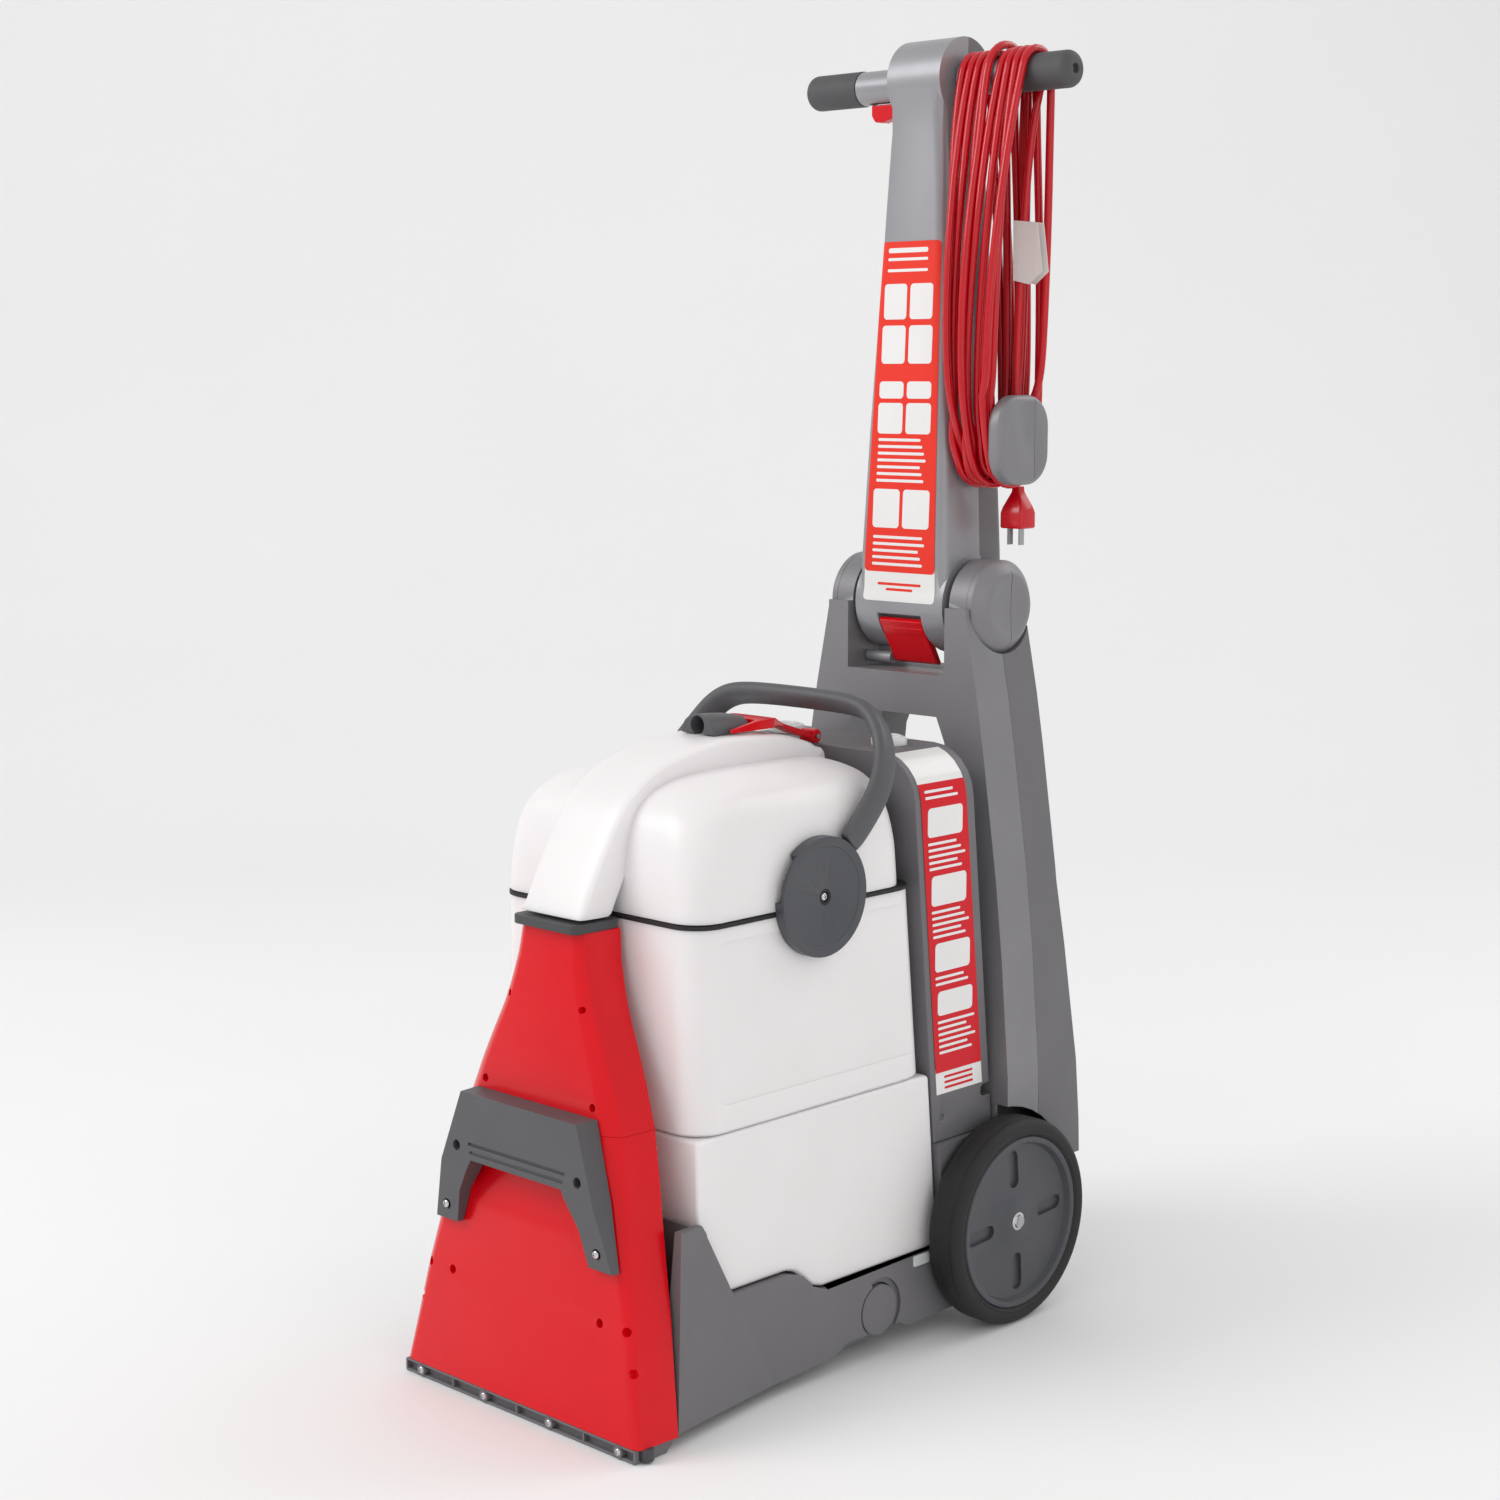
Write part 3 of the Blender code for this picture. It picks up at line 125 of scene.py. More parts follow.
def plastic(name, dark, light, rough, grain_mm=0.9, grain=0.12, coat=0.0, metal=0.0):
    """Moulded plastic: two close shades in soft patches, a fine grain, and uneven gloss."""
    mat = blank(name)
    place = add(mat, "ShaderNodeTexCoord").outputs["Object"]
    patches = add(mat, "ShaderNodeTexNoise", {"Vector": place, "Scale": 14.0, "Detail": 3.0})
    mix = add(mat, "ShaderNodeMix", {0: patches.outputs["Fac"], 6: tone(dark), 7: tone(light)},
              data_type="RGBA")
    fine = add(mat, "ShaderNodeTexNoise", {"Vector": place, "Scale": 1000.0 / grain_mm, "Detail": 2.0})
    bump = add(mat, "ShaderNodeBump", {"Height": fine.outputs["Fac"], "Strength": grain,
                                       "Distance": 0.0002})
    smear = add(mat, "ShaderNodeTexNoise", {"Vector": place, "Scale": 45.0, "Detail": 4.0})
    gloss = add(mat, "ShaderNodeMapRange", {"Value": smear.outputs["Fac"], 3: rough - 0.05, 4: rough + 0.07})
    shader_of(mat, {"Base Color": mix.outputs[2], "Roughness": gloss.outputs[0], "IOR": 1.5,
                    "Normal": bump.outputs[0], "Coat Weight": coat, "Coat Roughness": 0.08,
                    "Metallic": metal})
    return mat


def low_sheen(mat, level):
    """Weaken the white sheen that would bleach a deep colour."""
    shader_of(mat, {"Specular IOR Level": level})
    return mat


def milky(name, dark, light):
    """Milky translucent polyethylene: light soaks into it, and it is waxy to the eye."""
    mat = plastic(name, dark, light, 0.34, 1.6, 0.05)
    shader_of(mat, {"Subsurface Weight": 0.55, "Subsurface Radius": (1.0, 0.9, 0.85),
                    "Subsurface Scale": 0.012, "IOR": 1.51})
    return mat


def metal(name, code, rough, streak_mm=0.4):
    """Metal with a fine, uneven polish."""
    mat = blank(name)
    place = add(mat, "ShaderNodeTexCoord").outputs["Object"]
    marks = add(mat, "ShaderNodeTexNoise", {"Vector": place, "Scale": 1000.0 / streak_mm, "Detail": 3.0})
    gloss = add(mat, "ShaderNodeMapRange", {"Value": marks.outputs["Fac"], 3: rough - 0.06, 4: rough + 0.1})
    bump = add(mat, "ShaderNodeBump", {"Height": marks.outputs["Fac"], "Strength": 0.08,
                                       "Distance": 0.0001})
    shader_of(mat, {"Base Color": tone(code), "Metallic": 1.0, "Roughness": gloss.outputs[0],
                    "Normal": bump.outputs[0]})
    return mat


MATS = {
    # glossy shell: almost no grain, and little sheen over the deep colour
    "red": low_sheen(plastic("glossy_red_abs", "#D60012", "#E30216", 0.22, 2.5, 0.008, 0.06), 0.3),
    # satin plastic, partly metallic so that it brightens towards the light
    "silver": plastic("silver_satin_abs", "#8F8E92", "#A3A2A6", 0.36, 0.7, 0.10, 0.15, metal=0.35),
    # the same plastic, duller and darker
    "frame_grey": plastic("silver_grey_abs", "#7E7C7F", "#8B898C", 0.40, 0.7, 0.14, metal=0.2),
    # plain plastic with a visible grain
    "grey": plastic("grey_abs", "#69676A", "#737174", 0.50, 0.8, 0.25),
    # darker plastic with nearly the same grain
    "dark": plastic("dark_grey_abs", "#4E4E51", "#58585B", 0.46, 0.8, 0.22),
    # slightly bluish plastic of the wheels
    "wheel": plastic("slate_polypropylene", "#44454A", "#4D4E53", 0.42, 1.0, 0.18),
    # charcoal plastic, a step darker than the wheels
    "collar": plastic("charcoal_abs", "#3B3C3F", "#444548", 0.45, 0.8, 0.2),
    # soft rubber: rough enough to blur every highlight
    "grip": plastic("soft_grip_rubber", "#49494B", "#555557", 0.62, 0.5, 0.35),
    # black rubber: dark and nearly matt
    "black": plastic("black_rubber", "#161616", "#222121", 0.60, 0.6, 0.25),
    # tyre rubber: nearly black, the roughest and most grained of the rubbers
    "tyre": plastic("tyre_rubber", "#1B1B1C", "#272627", 0.66, 0.9, 0.40),
    # tank wall: light soaks into it
    "milk": milky("milky_polyethylene", "#EDE9E9", "#F4F1F2"),
    # the same plastic, greyer
    "cap": milky("translucent_cap", "#D6D6D6", "#E4E4E4"),
    # shiny jacket: smooth under a thin clear coat
    "cord": low_sheen(plastic("red_cord_pvc", "#B80014", "#D00018", 0.18, 6.0, 0.03, 0.25), 0.4),
    # ground steel: a blurred reflection
    "steel": metal("ground_steel", "#B4B4B6", 0.28),
    # plated screw heads: the sharpest reflection of all
    "chrome": metal("chromed_screw", "#D2D2D4", 0.16, 0.8),
    # brass: as blurred as the steel, and warm
    "brass": metal("turned_brass", "#B98D45", 0.3),
    # printed film: smooth against the grained plastic
    "label_orange": low_sheen(plastic("orange_red_printed_film", "#E9301F", "#F03625", 0.34, 3.0, 0.02),
                              0.3),
    # the same film in a cooler red
    "label_red": low_sheen(plastic("red_printed_film", "#D2061A", "#DA081D", 0.34, 3.0, 0.02), 0.3),
    # white print on the films
    "label_white": plastic("white_printed_film", "#E9E7E6", "#F2F0EF", 0.32, 3.0, 0.02, 0.3),
    # uncoated card: the roughest surface of all
    "card": plastic("white_card", "#E6E4E0", "#F0EEEA", 0.7, 1.2, 0.1),
    # nylon bristles: nearly black, broken up by the strongest and finest grain
    "bristle": plastic("nylon_bristles", "#141416", "#1F1F22", 0.55, 0.3, 0.8),
}


def dress(obj, mat):
    obj.data.materials.clear()
    obj.data.materials.append(MATS[mat] if isinstance(mat, str) else mat)
    return obj


def bevel(obj, width, segments=3, angle=32):
    """Round the sharp edges and keep the flats flat."""
    step = obj.modifiers.new("round_edges", "BEVEL")
    step.width = width
    step.segments = segments
    step.limit_method = "ANGLE"
    step.angle_limit = math.radians(angle)
    step.harden_normals = True
    return obj


def smooth(obj, sharp=35):
    obj.data.shade_smooth()
    obj.data.set_sharp_from_angle(angle=math.radians(sharp))
    return obj


def closed_mesh(name, bm):
    """The mesh of a bmesh, its doubles merged and its faces pointing out."""
    bmesh.ops.remove_doubles(bm, verts=bm.verts, dist=SAME_SPOT)
    bmesh.ops.recalc_face_normals(bm, faces=bm.faces)
    mesh = bpy.data.meshes.new(name)
    bm.to_mesh(mesh)
    bm.free()
    return mesh


def piece(name, bm, mat, body, node=None, sharp=35):
    """Make a finished piece of a bmesh: its material, its body, and the CAD node it stands for."""
    obj = bpy.data.objects.new(name, closed_mesh(name, bm))
    PIECES.objects.link(obj)
    dress(obj, mat)
    smooth(obj, sharp)
    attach(obj, body)
    if node:
        nodes = [node] if isinstance(node, str) else node
        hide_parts(*nodes)
    return obj


AXES = {"x": Matrix(((0, 0, 1), (1, 0, 0), (0, 1, 0))),
        "y": Matrix(((1, 0, 0), (0, 0, -1), (0, 1, 0))),
        "z": Matrix.Identity(3)}


def turn(axis, centre=(0, 0, 0)):
    """The matrix that lays a local Z along the named axis, at a centre."""
    return Matrix.Translation(Vector(centre)) @ AXES[axis].to_4x4()


def lathe(profile, axis, centre, steps=64, bm=None):
    """Turn a closed outline of (radius, height) pairs round an axis."""
    bm = bm or bmesh.new()
    before = set(bm.verts)
    verts = [bm.verts.new((r, 0, h)) for r, h in profile]
    edges = []
    for a, b in zip(verts, verts[1:] + verts[:1]):
        if a.co.x > 0 or b.co.x > 0:
            edges.append(bm.edges.new((a, b)))
    bmesh.ops.spin(bm, geom=verts + edges, cent=(0, 0, 0), axis=(0, 0, 1), angle=2 * math.pi,
                   steps=steps, use_merge=True)
    bmesh.ops.transform(bm, matrix=turn(axis, centre), verts=[v for v in bm.verts if v not in before])
    return bm


def prism(outline, axis, start, end, bm=None):
    """A flat outline pulled along an axis: y-z for x, x-z for y, x-y for z."""
    bm = bm or bmesh.new()
    way = AXES[axis] @ Vector((0, 0, -1 if axis == "y" else 1))
    face = bm.faces.new([bm.verts.new(AXES[axis] @ Vector((u, v, 0)) + way * start) for u, v in outline])
    pulled = bmesh.ops.extrude_face_region(bm, geom=[face])["geom"]
    corners = [v for v in pulled if isinstance(v, bmesh.types.BMVert)]
    bmesh.ops.translate(bm, vec=way * (end - start), verts=corners)
    return bm


def side_prism(outline, sign, near, far, bm=None):
    """A y-z outline pulled outwards on one side, between two distances from the middle."""
    return prism(outline, "x", *sorted((sign * near, sign * far)), bm)


def loft(rings, bm=None):
    """A closed skin bridged over rings with the same number of points."""
    bm = bm or bmesh.new()
    loops = []
    for ring in rings:
        verts = [bm.verts.new(p) for p in ring]
        loops.append([bm.edges.new(pair) for pair in zip(verts, verts[1:] + verts[:1])])
        if ring is rings[0] or ring is rings[-1]:
            bm.faces.new(verts)
    for a, b in zip(loops, loops[1:]):
        bmesh.ops.bridge_loops(bm, edges=a + b)
    return bm


def arc(cu, cv, radius, start, end, steps):
    """Points of an arc, angles in degrees from the first axis towards the second."""
    return [(cu + radius * math.cos(math.radians(start + (end - start) * i / steps)),
             cv + radius * math.sin(math.radians(start + (end - start) * i / steps)))
            for i in range(steps + 1)]


def box_outline(u0, u1, v0, v1, radius, steps=6):
    """A rectangle with rounded corners."""
    points = []
    for cu, cv, start in ((u1 - radius, v1 - radius, 0), (u0 + radius, v1 - radius, 90),
                          (u0 + radius, v0 + radius, 180), (u1 - radius, v0 + radius, 270)):
        points += arc(cu, cv, radius, start, start + 90, steps)
    return points


def between(table, v):
    """Linear value at v in a list of (value, v) pairs that rise in v."""
    for (a, va), (b, vb) in zip(table, table[1:]):
        if v <= vb:
            return a + (b - a) * (v - va) / (vb - va)
    return table[-1][0]


# --- shaping the CAD nodes' own forms ---------------------------------------------------------------

def keep_shape(obj):
    """Keep the result of a piece's modifiers as its mesh."""
    bpy.context.view_layer.update()
    graph = bpy.context.evaluated_depsgraph_get()
    shaped = bpy.data.meshes.new_from_object(obj.evaluated_get(graph))
    old = obj.data
    obj.modifiers.clear()
    obj.data = shaped
    bpy.data.meshes.remove(old)


def combined(obj, bm, operation="DIFFERENCE"):
    """Cut a bmesh out of a piece, or join it on."""
    mesh = closed_mesh("tool", bm)
    tool = bpy.data.objects.new("tool", mesh)
    PIECES.objects.link(tool)
    step = obj.modifiers.new("step", "BOOLEAN")
    step.object = tool
    step.operation = operation
    step.use_self = True
    keep_shape(obj)
    bpy.data.objects.remove(tool)
    bpy.data.meshes.remove(mesh)
    return obj


def node_form(node):
    """A CAD node's loose triangles, joined at their corners."""
    bm = bmesh.new()
    bm.from_mesh(NODES[node].data)
    bmesh.ops.remove_doubles(bm, verts=bm.verts, dist=0.00002)
    return bm


def rounded_node(node, mat, width, cutter=None, segments=3, angle=32):
    """A CAD node's own form with its flats joined, details cut in, and its edges rounded."""
    bm = node_form(node)
    bmesh.ops.dissolve_limit(bm, angle_limit=FLAT_WITHIN, verts=bm.verts, edges=bm.edges)
    obj = piece(node + "_moulding", bm, mat, BODY_OF[node], node)
    if cutter:
        combined(obj, cutter)
    bevel(obj, width, segments, angle)
    return smooth(obj)


def ring_rect(half, front, rear, radius, z, steps=8):
    """A level ring: a rectangle with rounded corners."""
    return [(u, v, z) for u, v in box_outline(-half, half, front, rear, radius, steps)]


def spread(rows, count):
    """Rows of numbers resampled on a smooth curve through them, evenly by index."""
    rows = [np.array(row) for row in rows]
    out = []
    for k in range(count + 1):
        t = (len(rows) - 1) * k / count
        i = min(int(t), len(rows) - 2)
        f = t - i
        p0, p1, p2, p3 = (rows[max(min(j, len(rows) - 1), 0)] for j in (i - 1, i, i + 1, i + 2))
        out.append(tuple(0.5 * (2 * p1 + (p2 - p0) * f + (2 * p0 - 5 * p1 + 4 * p2 - p3) * f * f
                                + (3 * p1 - p0 - 3 * p2 + p3) * f ** 3)))
    return out


def capsule(cu, cv, length, width, angle, steps=8):
    """A slot outline with round ends, turned by an angle in degrees."""
    r = width / 2
    reach = length / 2 - r
    points = arc(reach, 0, r, -90, 90, steps) + arc(-reach, 0, r, 90, 270, steps)
    c, s = math.cos(math.radians(angle)), math.sin(math.radians(angle))
    return [(cu + u * c - v * s, cv + u * s + v * c) for u, v in points]


def screw(name, centre, axis, radius, body, out=1):
    """A pan-head screw with a cross recess, its head facing out along the axis."""
    h = radius * 0.55
    dome = [(radius * math.cos(math.radians(a)), h * math.sin(math.radians(a))) for a in range(0, 90, 15)]
    head = [(0, -h), (radius * 0.6, -h), (radius * 0.6, 0)] + dome + [(0, h)]
    bm = lathe([(r, out * v) for r, v in head], axis, centre, 24)
    obj = piece(name, bm, "chrome", body)
    slots = bmesh.new()
    for turned in (0, 90):
        outline = capsule(centre[1] if axis == "x" else centre[0], centre[2] if axis != "z" else centre[1],
                          radius * 1.1, radius * 0.26, turned + 20, 3)
        k = {"x": 0, "y": 1, "z": 2}[axis]
        way = -out if axis == "y" else out
        prism(outline, axis, centre[k] + way * h * 0.35, centre[k] + way * h * 1.5, slots)
    combined(obj, slots)
    return smooth(obj)


# --- hood, grip and nozzle ------------------------------------------------------------------------

HOOD_LOW = low("hood_lower")[2]
HOOD_HIGH = high("hood_upper")[2]
HOOD_FRONT = low("hood_lower")[1]
HOOD_SLOPE = 0.1046             # the face leans back, per metre of height
HOOD_DEPTH = 0.0430
HOOD_HALF = [(high("hood_lower")[0] - 0.002, HOOD_LOW), (0.1362, 0.0560), (0.1280, 0.1000), (0.1120, 0.1700),
             (0.1035, 0.2100), (0.0940, 0.2500), (0.0800, 0.2850), (0.0690, 0.3087), (0.0560, 0.3350),
             (0.0480, 0.3560), (0.0410, 0.3800), (0.0372, HOOD_HIGH)]


def hood_y(z):
    return HOOD_FRONT + HOOD_SLOPE * (z - HOOD_LOW)


def hood_ring(z):
    """The hood's section: a flat face, a soft facet that widens to the middle, and side walls."""
    half = between(HOOD_HALF, z)
    facet = between([(0.0060, HOOD_LOW), (0.0080, 0.10), (0.0130, 0.20), (0.0150, 0.26),
                     (0.0080, HOOD_HIGH)], z)
    y = hood_y(z)
    side = [(half - facet - 0.0015, y), (half - facet, y + 0.0002), (half - facet * 0.55, y + facet * 0.22),
            (half - facet * 0.12, y + facet * 0.50), (half, y + facet * 0.62),
            (half + 0.0002, y + facet * 0.75),
            (half + 0.0020, y + HOOD_DEPTH)]
    return [(u, v, z) for u, v in side] + [(-u, v, z) for u, v in reversed(side)]


def hood_holes():
    """Blind screw holes, square to the leaning face."""
    bm = bmesh.new()
    for x, z, r in ((0.0445, 0.345, 0.0032), (0.0660, 0.270, 0.0036), (0.1220, 0.1015, 0.0040),
                    (0.0917, 0.1015, 0.0040), (0.1315, 0.0700, 0.0040)):
        for sign in (1, -1):
            lathe([(0, -0.006), (r * 0.85, -0.006), (r, 0.001), (r + 0.0006, 0.003), (0, 0.003)], "y",
                  (sign * x, hood_y(z), z), 24, bm)
    return bm


def build_hood():
    for node, start, end in (("hood_lower", HOOD_LOW, high("hood_lower")[2]),
                             ("hood_upper", low("hood_upper")[2], HOOD_HIGH)):
        heights = [start + (end - start) * k / 18 for k in range(19)]
        bm = loft([hood_ring(z) for z in heights])
        hood = piece(node + "_shell", bm, "red", "base", node, 24)
        holes = hood_holes()
        if node == "hood_lower":
            front = hood_y(0.19)
            prism([(front - 0.020, 0.166), (hood_y(0.166), 0.1660), (front + 0.0085, 0.196),
                   (front + 0.0085, 0.2130), (front - 0.020, 0.2130)], "x", -0.0740, 0.0740, holes)
            prism([(-0.2660, 0.0), (-0.2600, 0.0), (-0.2560, 0.045), (-0.2620, 0.045)], "x", -0.130, 0.130,
                  holes)
        combined(hood, holes)
        bevel(hood, 0.0008, 2, 24)
        smooth(hood, 24)
    ring = [ring_rect(0.0395, low("hood_collar")[1], high("hood_collar")[1], 0.008, z)
            for z in (low("hood_collar")[2], high("hood_collar")[2])]
    collar = piece("hood_collar_ring", loft(ring), "collar", "base", "hood_collar")
    bevel(collar, 0.0010)


def build_front_grip():
    cutter = bmesh.new()
    face = low("front_grip")[1]
    for z, half in ((0.2125, 0.0580), (0.2195, 0.0600)):
        rod = capsule(0, z, 2 * half, 0.0026, 0, 4)
        prism(rod, "y", face - 0.010, hood_y(z) - 0.0180, cutter)
    spots = [(s * 0.0748, 0.2155) for s in (1, -1)] + [(s * 0.0930, 0.1600) for s in (1, -1)]
    faces = {0.2155: hood_y(0.2155) - 0.0190, 0.1600: hood_y(0.1600) - 0.0105}
    for x, z in spots:
        lathe([(0, -0.020), (0.0044, -0.020), (0.0044, 0.0040), (0, 0.0040)], "y", (x, faces[z], z), 24,
              cutter)
    rounded_node("front_grip", "dark", 0.0022, cutter, 3, 30)
    for i, (x, z) in enumerate(spots[2:]):
        screw(f"front_grip_screw_{i + 1}", (x, faces[z] - 0.0005, z), "y", 0.0034, "base", 1)


def build_nozzle():
    """The lip under the hood: a grey strip with a raised edge, ribs, four screws and an end bracket."""
    hi = high("suction_nozzle")
    rounded_node("suction_nozzle", "grey", 0.0008)
    front = hood_y(0.012)
    lip = front - 0.0006
    section = [(lip, 0.0005), (lip + 0.0140, 0.0005), (lip + 0.0140, 0.0117), (lip, 0.0117), (lip, 0.0098),
               (lip + 0.0050, 0.0098), (lip + 0.0050, 0.0028), (lip, 0.0028)]
    bm = prism(section, "x", -0.1450, 0.1420)
    ribs = bmesh.new()
    for x in (-0.1442, -0.0820, 0.0, 0.0820, 0.1412):
        prism([(lip, 0.0020), (lip + 0.0060, 0.0020), (lip + 0.0060, 0.0105), (lip, 0.0105)], "x",
              x - 0.0009, x + 0.0009, ribs)
    ribs = piece("nozzle_ribs", ribs, "grey", "base")
    channel = piece("nozzle_channel", bm, "grey", "base")
    bevel(channel, 0.0005, 2)
    for i, x in enumerate((-0.1235, -0.0410, 0.0410, 0.1235)):
        boss = lathe([(0.0, -0.0010), (0.0048, -0.0010), (0.0048, 0.0060), (0.0, 0.0060)], "y",
                     (x, front + 0.0042, 0.0063), 24)
        boss = piece(f"nozzle_boss_{i + 1}", boss, "grey", "base")
        screw(f"nozzle_screw_{i + 1}", (x, front - 0.0014, 0.0063), "y", 0.0032, "base", 1)
    end = lathe([(0, -0.0052), (0.0052, -0.0052), (0.0060, -0.0040), (0.0060, 0.0040), (0.0052, 0.0052),
                 (0, 0.0052)], "z", (hi[0] + 0.0015, front + 0.0110, 0.0070), 24)
    prism([(front + 0.004, 0.0030), (front + 0.018, 0.0030), (front + 0.018, 0.0110),
           (front + 0.004, 0.0110)],
          "x", hi[0] - 0.0080, hi[0] + 0.0010, end)
    bracket = piece("nozzle_end_bracket", end, "collar", "base")


# --- tanks, lid and what clamps it ----------------------------------------------------------------

def tank_rear(z):
    """The rear faces of both tanks lean forward with height."""
    return high("clean_tank")[1] - TANK_LEAN * (z - TANK_FOOT)


def side_panels(y0, y1, z0, z1, depth, node):
    """Shallow panels moulded into both side faces."""
    bm = bmesh.new()
    half = high(node)[0]
    outline = [(y + (tank_rear(z) - tank_rear(z0) if y > 0 else 0), z)
               for y, z in box_outline(y0, y1, z0, z1, 0.010, 6)]
    for sign in (1, -1):
        side_prism(outline, sign, half - depth, half + 0.010, bm)
    return bm


def build_tanks():
    half = high("recovery_tank")[0]
    front = low("recovery_tank")[1]
    z0, z1 = low("recovery_tank")[2], high("recovery_tank")[2]
    rings = [ring_rect(half - inset, front + inset, tank_rear(z) - inset, 0.028, z)
             for z, inset in ((z0, 0.0030), (z0 + 0.0030, 0.0), (z0 + 0.020, 0.0), (z1 - 0.0100, 0.0),
                              (z1, 0.0))]
    upper = piece("recovery_tank_shell", loft(rings), "milk", "tanks", "recovery_tank", 30)
    combined(upper, side_panels(-0.176, tank_rear(z0) - 0.012, z0 + 0.024, z1 - 0.012, 0.0012,
                                "recovery_tank"))
    bevel(upper, 0.0014, 3, 28)
    smooth(upper, 30)

    lo, hi = low("clean_tank"), high("clean_tank")
    step = [(lo[1], hi[2]), (lo[1], 0.1300), (-0.1800, 0.1045), (-0.0960, 0.1045)]
    step += [(-0.0850, 0.1020), (-0.0730, 0.0930), (-0.0620, 0.0835), (-0.0500, 0.0800)]
    step += [(tank_rear(0.080) - 0.001, 0.0800), (tank_rear(hi[2]), hi[2])]
    lower = piece("clean_tank_shell", prism(step, "x", lo[0], hi[0]), "milk", "tanks", "clean_tank")
    bevel(lower, 0.0036, 4, 40)
    smooth(lower, 30)

    seal = low("tank_gasket")[2]
    grow = 0.0008
    rings = [ring_rect(half + g, front - g, tank_rear(z) + g, 0.028, z)
             for z, g in ((seal - 0.0006, 0), (seal - 0.0002, grow), (seal + 0.0026, grow),
                          (seal + 0.0030, 0))]
    gasket = piece("tank_gasket_bead", loft(rings), "black", "tanks", "tank_gasket")
    smooth(gasket, 50)


def build_lid():
    """The dome with the raised spine that carries the duct to the snout."""
    base, top = low("tank_lid")[2] + 0.0015, high("tank_lid")[2]
    rows = [(0.1220, -0.2000, 0.0600, 0.0280, base), (0.1218, -0.1995, 0.0598, 0.0300, 0.4350),
            (0.1210, -0.1980, 0.0590, 0.0320, 0.4560), (0.1188, -0.1940, 0.0560, 0.0350, 0.4780),
            (0.1140, -0.1865, 0.0530, 0.0390, 0.4960), (0.1060, -0.1740, 0.0485, 0.0430, 0.5085),
            (0.0945, -0.1570, 0.0410, 0.0450, 0.5165), (0.0780, -0.1330, 0.0290, 0.0460, 0.5215),
            (0.0520, -0.1000, 0.0050, 0.0440, 0.5240)]
    dome = piece("tank_lid_dome", loft([ring_rect(*row) for row in spread(rows, 28)]), "milk", "lid",
                 "tank_lid", 50)
    spine = [(-0.2500, base), (-0.2460, 0.4200), (-0.2335, 0.4450), (-0.2165, 0.4750), (-0.2000, 0.5010),
             (-0.1800, 0.5190), (-0.1540, 0.5325), (-0.1080, 0.5435), (-0.0700, 0.5475), (-0.0100, 0.5440),
             (0.0200, 0.5370), (0.0350, 0.5300), (0.0480, 0.5150), (0.0500, base)]
    crown = spread(spine, 52)
    rings = []
    for i, (y, z) in enumerate(crown):
        ahead = Vector(crown[min(i + 1, len(crown) - 1)]) - Vector(crown[max(i - 1, 0)])
        out = Vector((-ahead.y, ahead.x)).normalized()
        floor = Vector((y, z)) - out * 0.030
        floor = Vector((min(max(floor.x, -0.2300), 0.0350), max(floor.y, base)))
        half = 0.0370
        over = []
        for u, depth in ((half, 1.0), (half, 0.30), (half - 0.0008, 0.10), (half - 0.0035, 0.035),
                         (half - 0.0090, 0.012), (half - 0.0200, 0.002), (0.0, 0.0)):
            spot = Vector((y, z)).lerp(floor, depth)
            over.append((u, spot.x, spot.y))
        rings.append(over + [(-u, a, b) for u, a, b in reversed(over[:-1])])
    bm = loft(rings[2:-2])
    combined(dome, bm, "UNION")
    smooth(dome, 60)
    weld = dome.modifiers.new("soft_valleys", "BEVEL")
    weld.width = 0.0030
    weld.segments = 3
    weld.limit_method = "ANGLE"
    weld.angle_limit = math.radians(38)


def build_lever():
    """The red fork that wraps the snout, its arm, and the ring that hooks it to the lid."""
    top = [(0.5520, -0.062), (0.5545, -0.045), (0.5572, -0.028), (0.5578, -0.010), (0.5560, 0.002),
           (0.5500, 0.016), (0.5450, 0.032), (0.5400, 0.048), (0.5375, 0.0640)]
    under = [(0.5488, -0.062), (0.5488, 0.004), (0.5465, 0.016), (0.5385, 0.035), (0.5340, 0.048),
             (0.5300, 0.0640)]
    right = [(0.0070, 0.0640), (0.0070, 0.0260), (0.0095, 0.0180)]
    right += [(u, v) for u, v in arc(0.0130, -0.0120, 0.0120, 62, 0, 6)]
    right += [(0.0250, -0.0300), (0.0243, -0.0600), (0.0232, -0.0618), (0.0221, -0.0600), (0.0208, -0.0330)]
    right += arc(0.0150, -0.0310, 0.0055, -10, 90, 4)
    outline = right + [(-u, v) for u, v in reversed(right)]
    bm = prism(outline, "z", 0, 1)
    for k in range(14):
        geom = bm.verts[:] + bm.edges[:] + bm.faces[:]
        bmesh.ops.bisect_plane(bm, geom=geom, plane_co=(0, -0.058 + 0.0085 * k, 0), plane_no=(0, 1, 0))
    for v in bm.verts:
        v.co.z = between(top if v.co.z > 0.5 else under, v.co.y)
    lever = piece("fork_lever", bm, "red", "lever", "lid_lever", 30)
    bevel(lever, 0.0009, 3, 45)
    smooth(lever, 30)
    centre = (0, 0.0640, 0.5330)
    ring = lathe([(0.0026, -0.0085), (0.0056, -0.0085), (0.0062, -0.0078), (0.0062, 0.0078), (0.0056, 0.0085),
                  (0.0026, 0.0085)], "x", centre, 32)
    ring = piece("lever_ring", ring, "red", "lever")
    pin = lathe([(0, -0.0105), (0.0024, -0.0105), (0.0024, 0.0105), (0, 0.0105)], "x", centre, 24)
    pin = piece("lever_pin", pin, "steel", "lever")


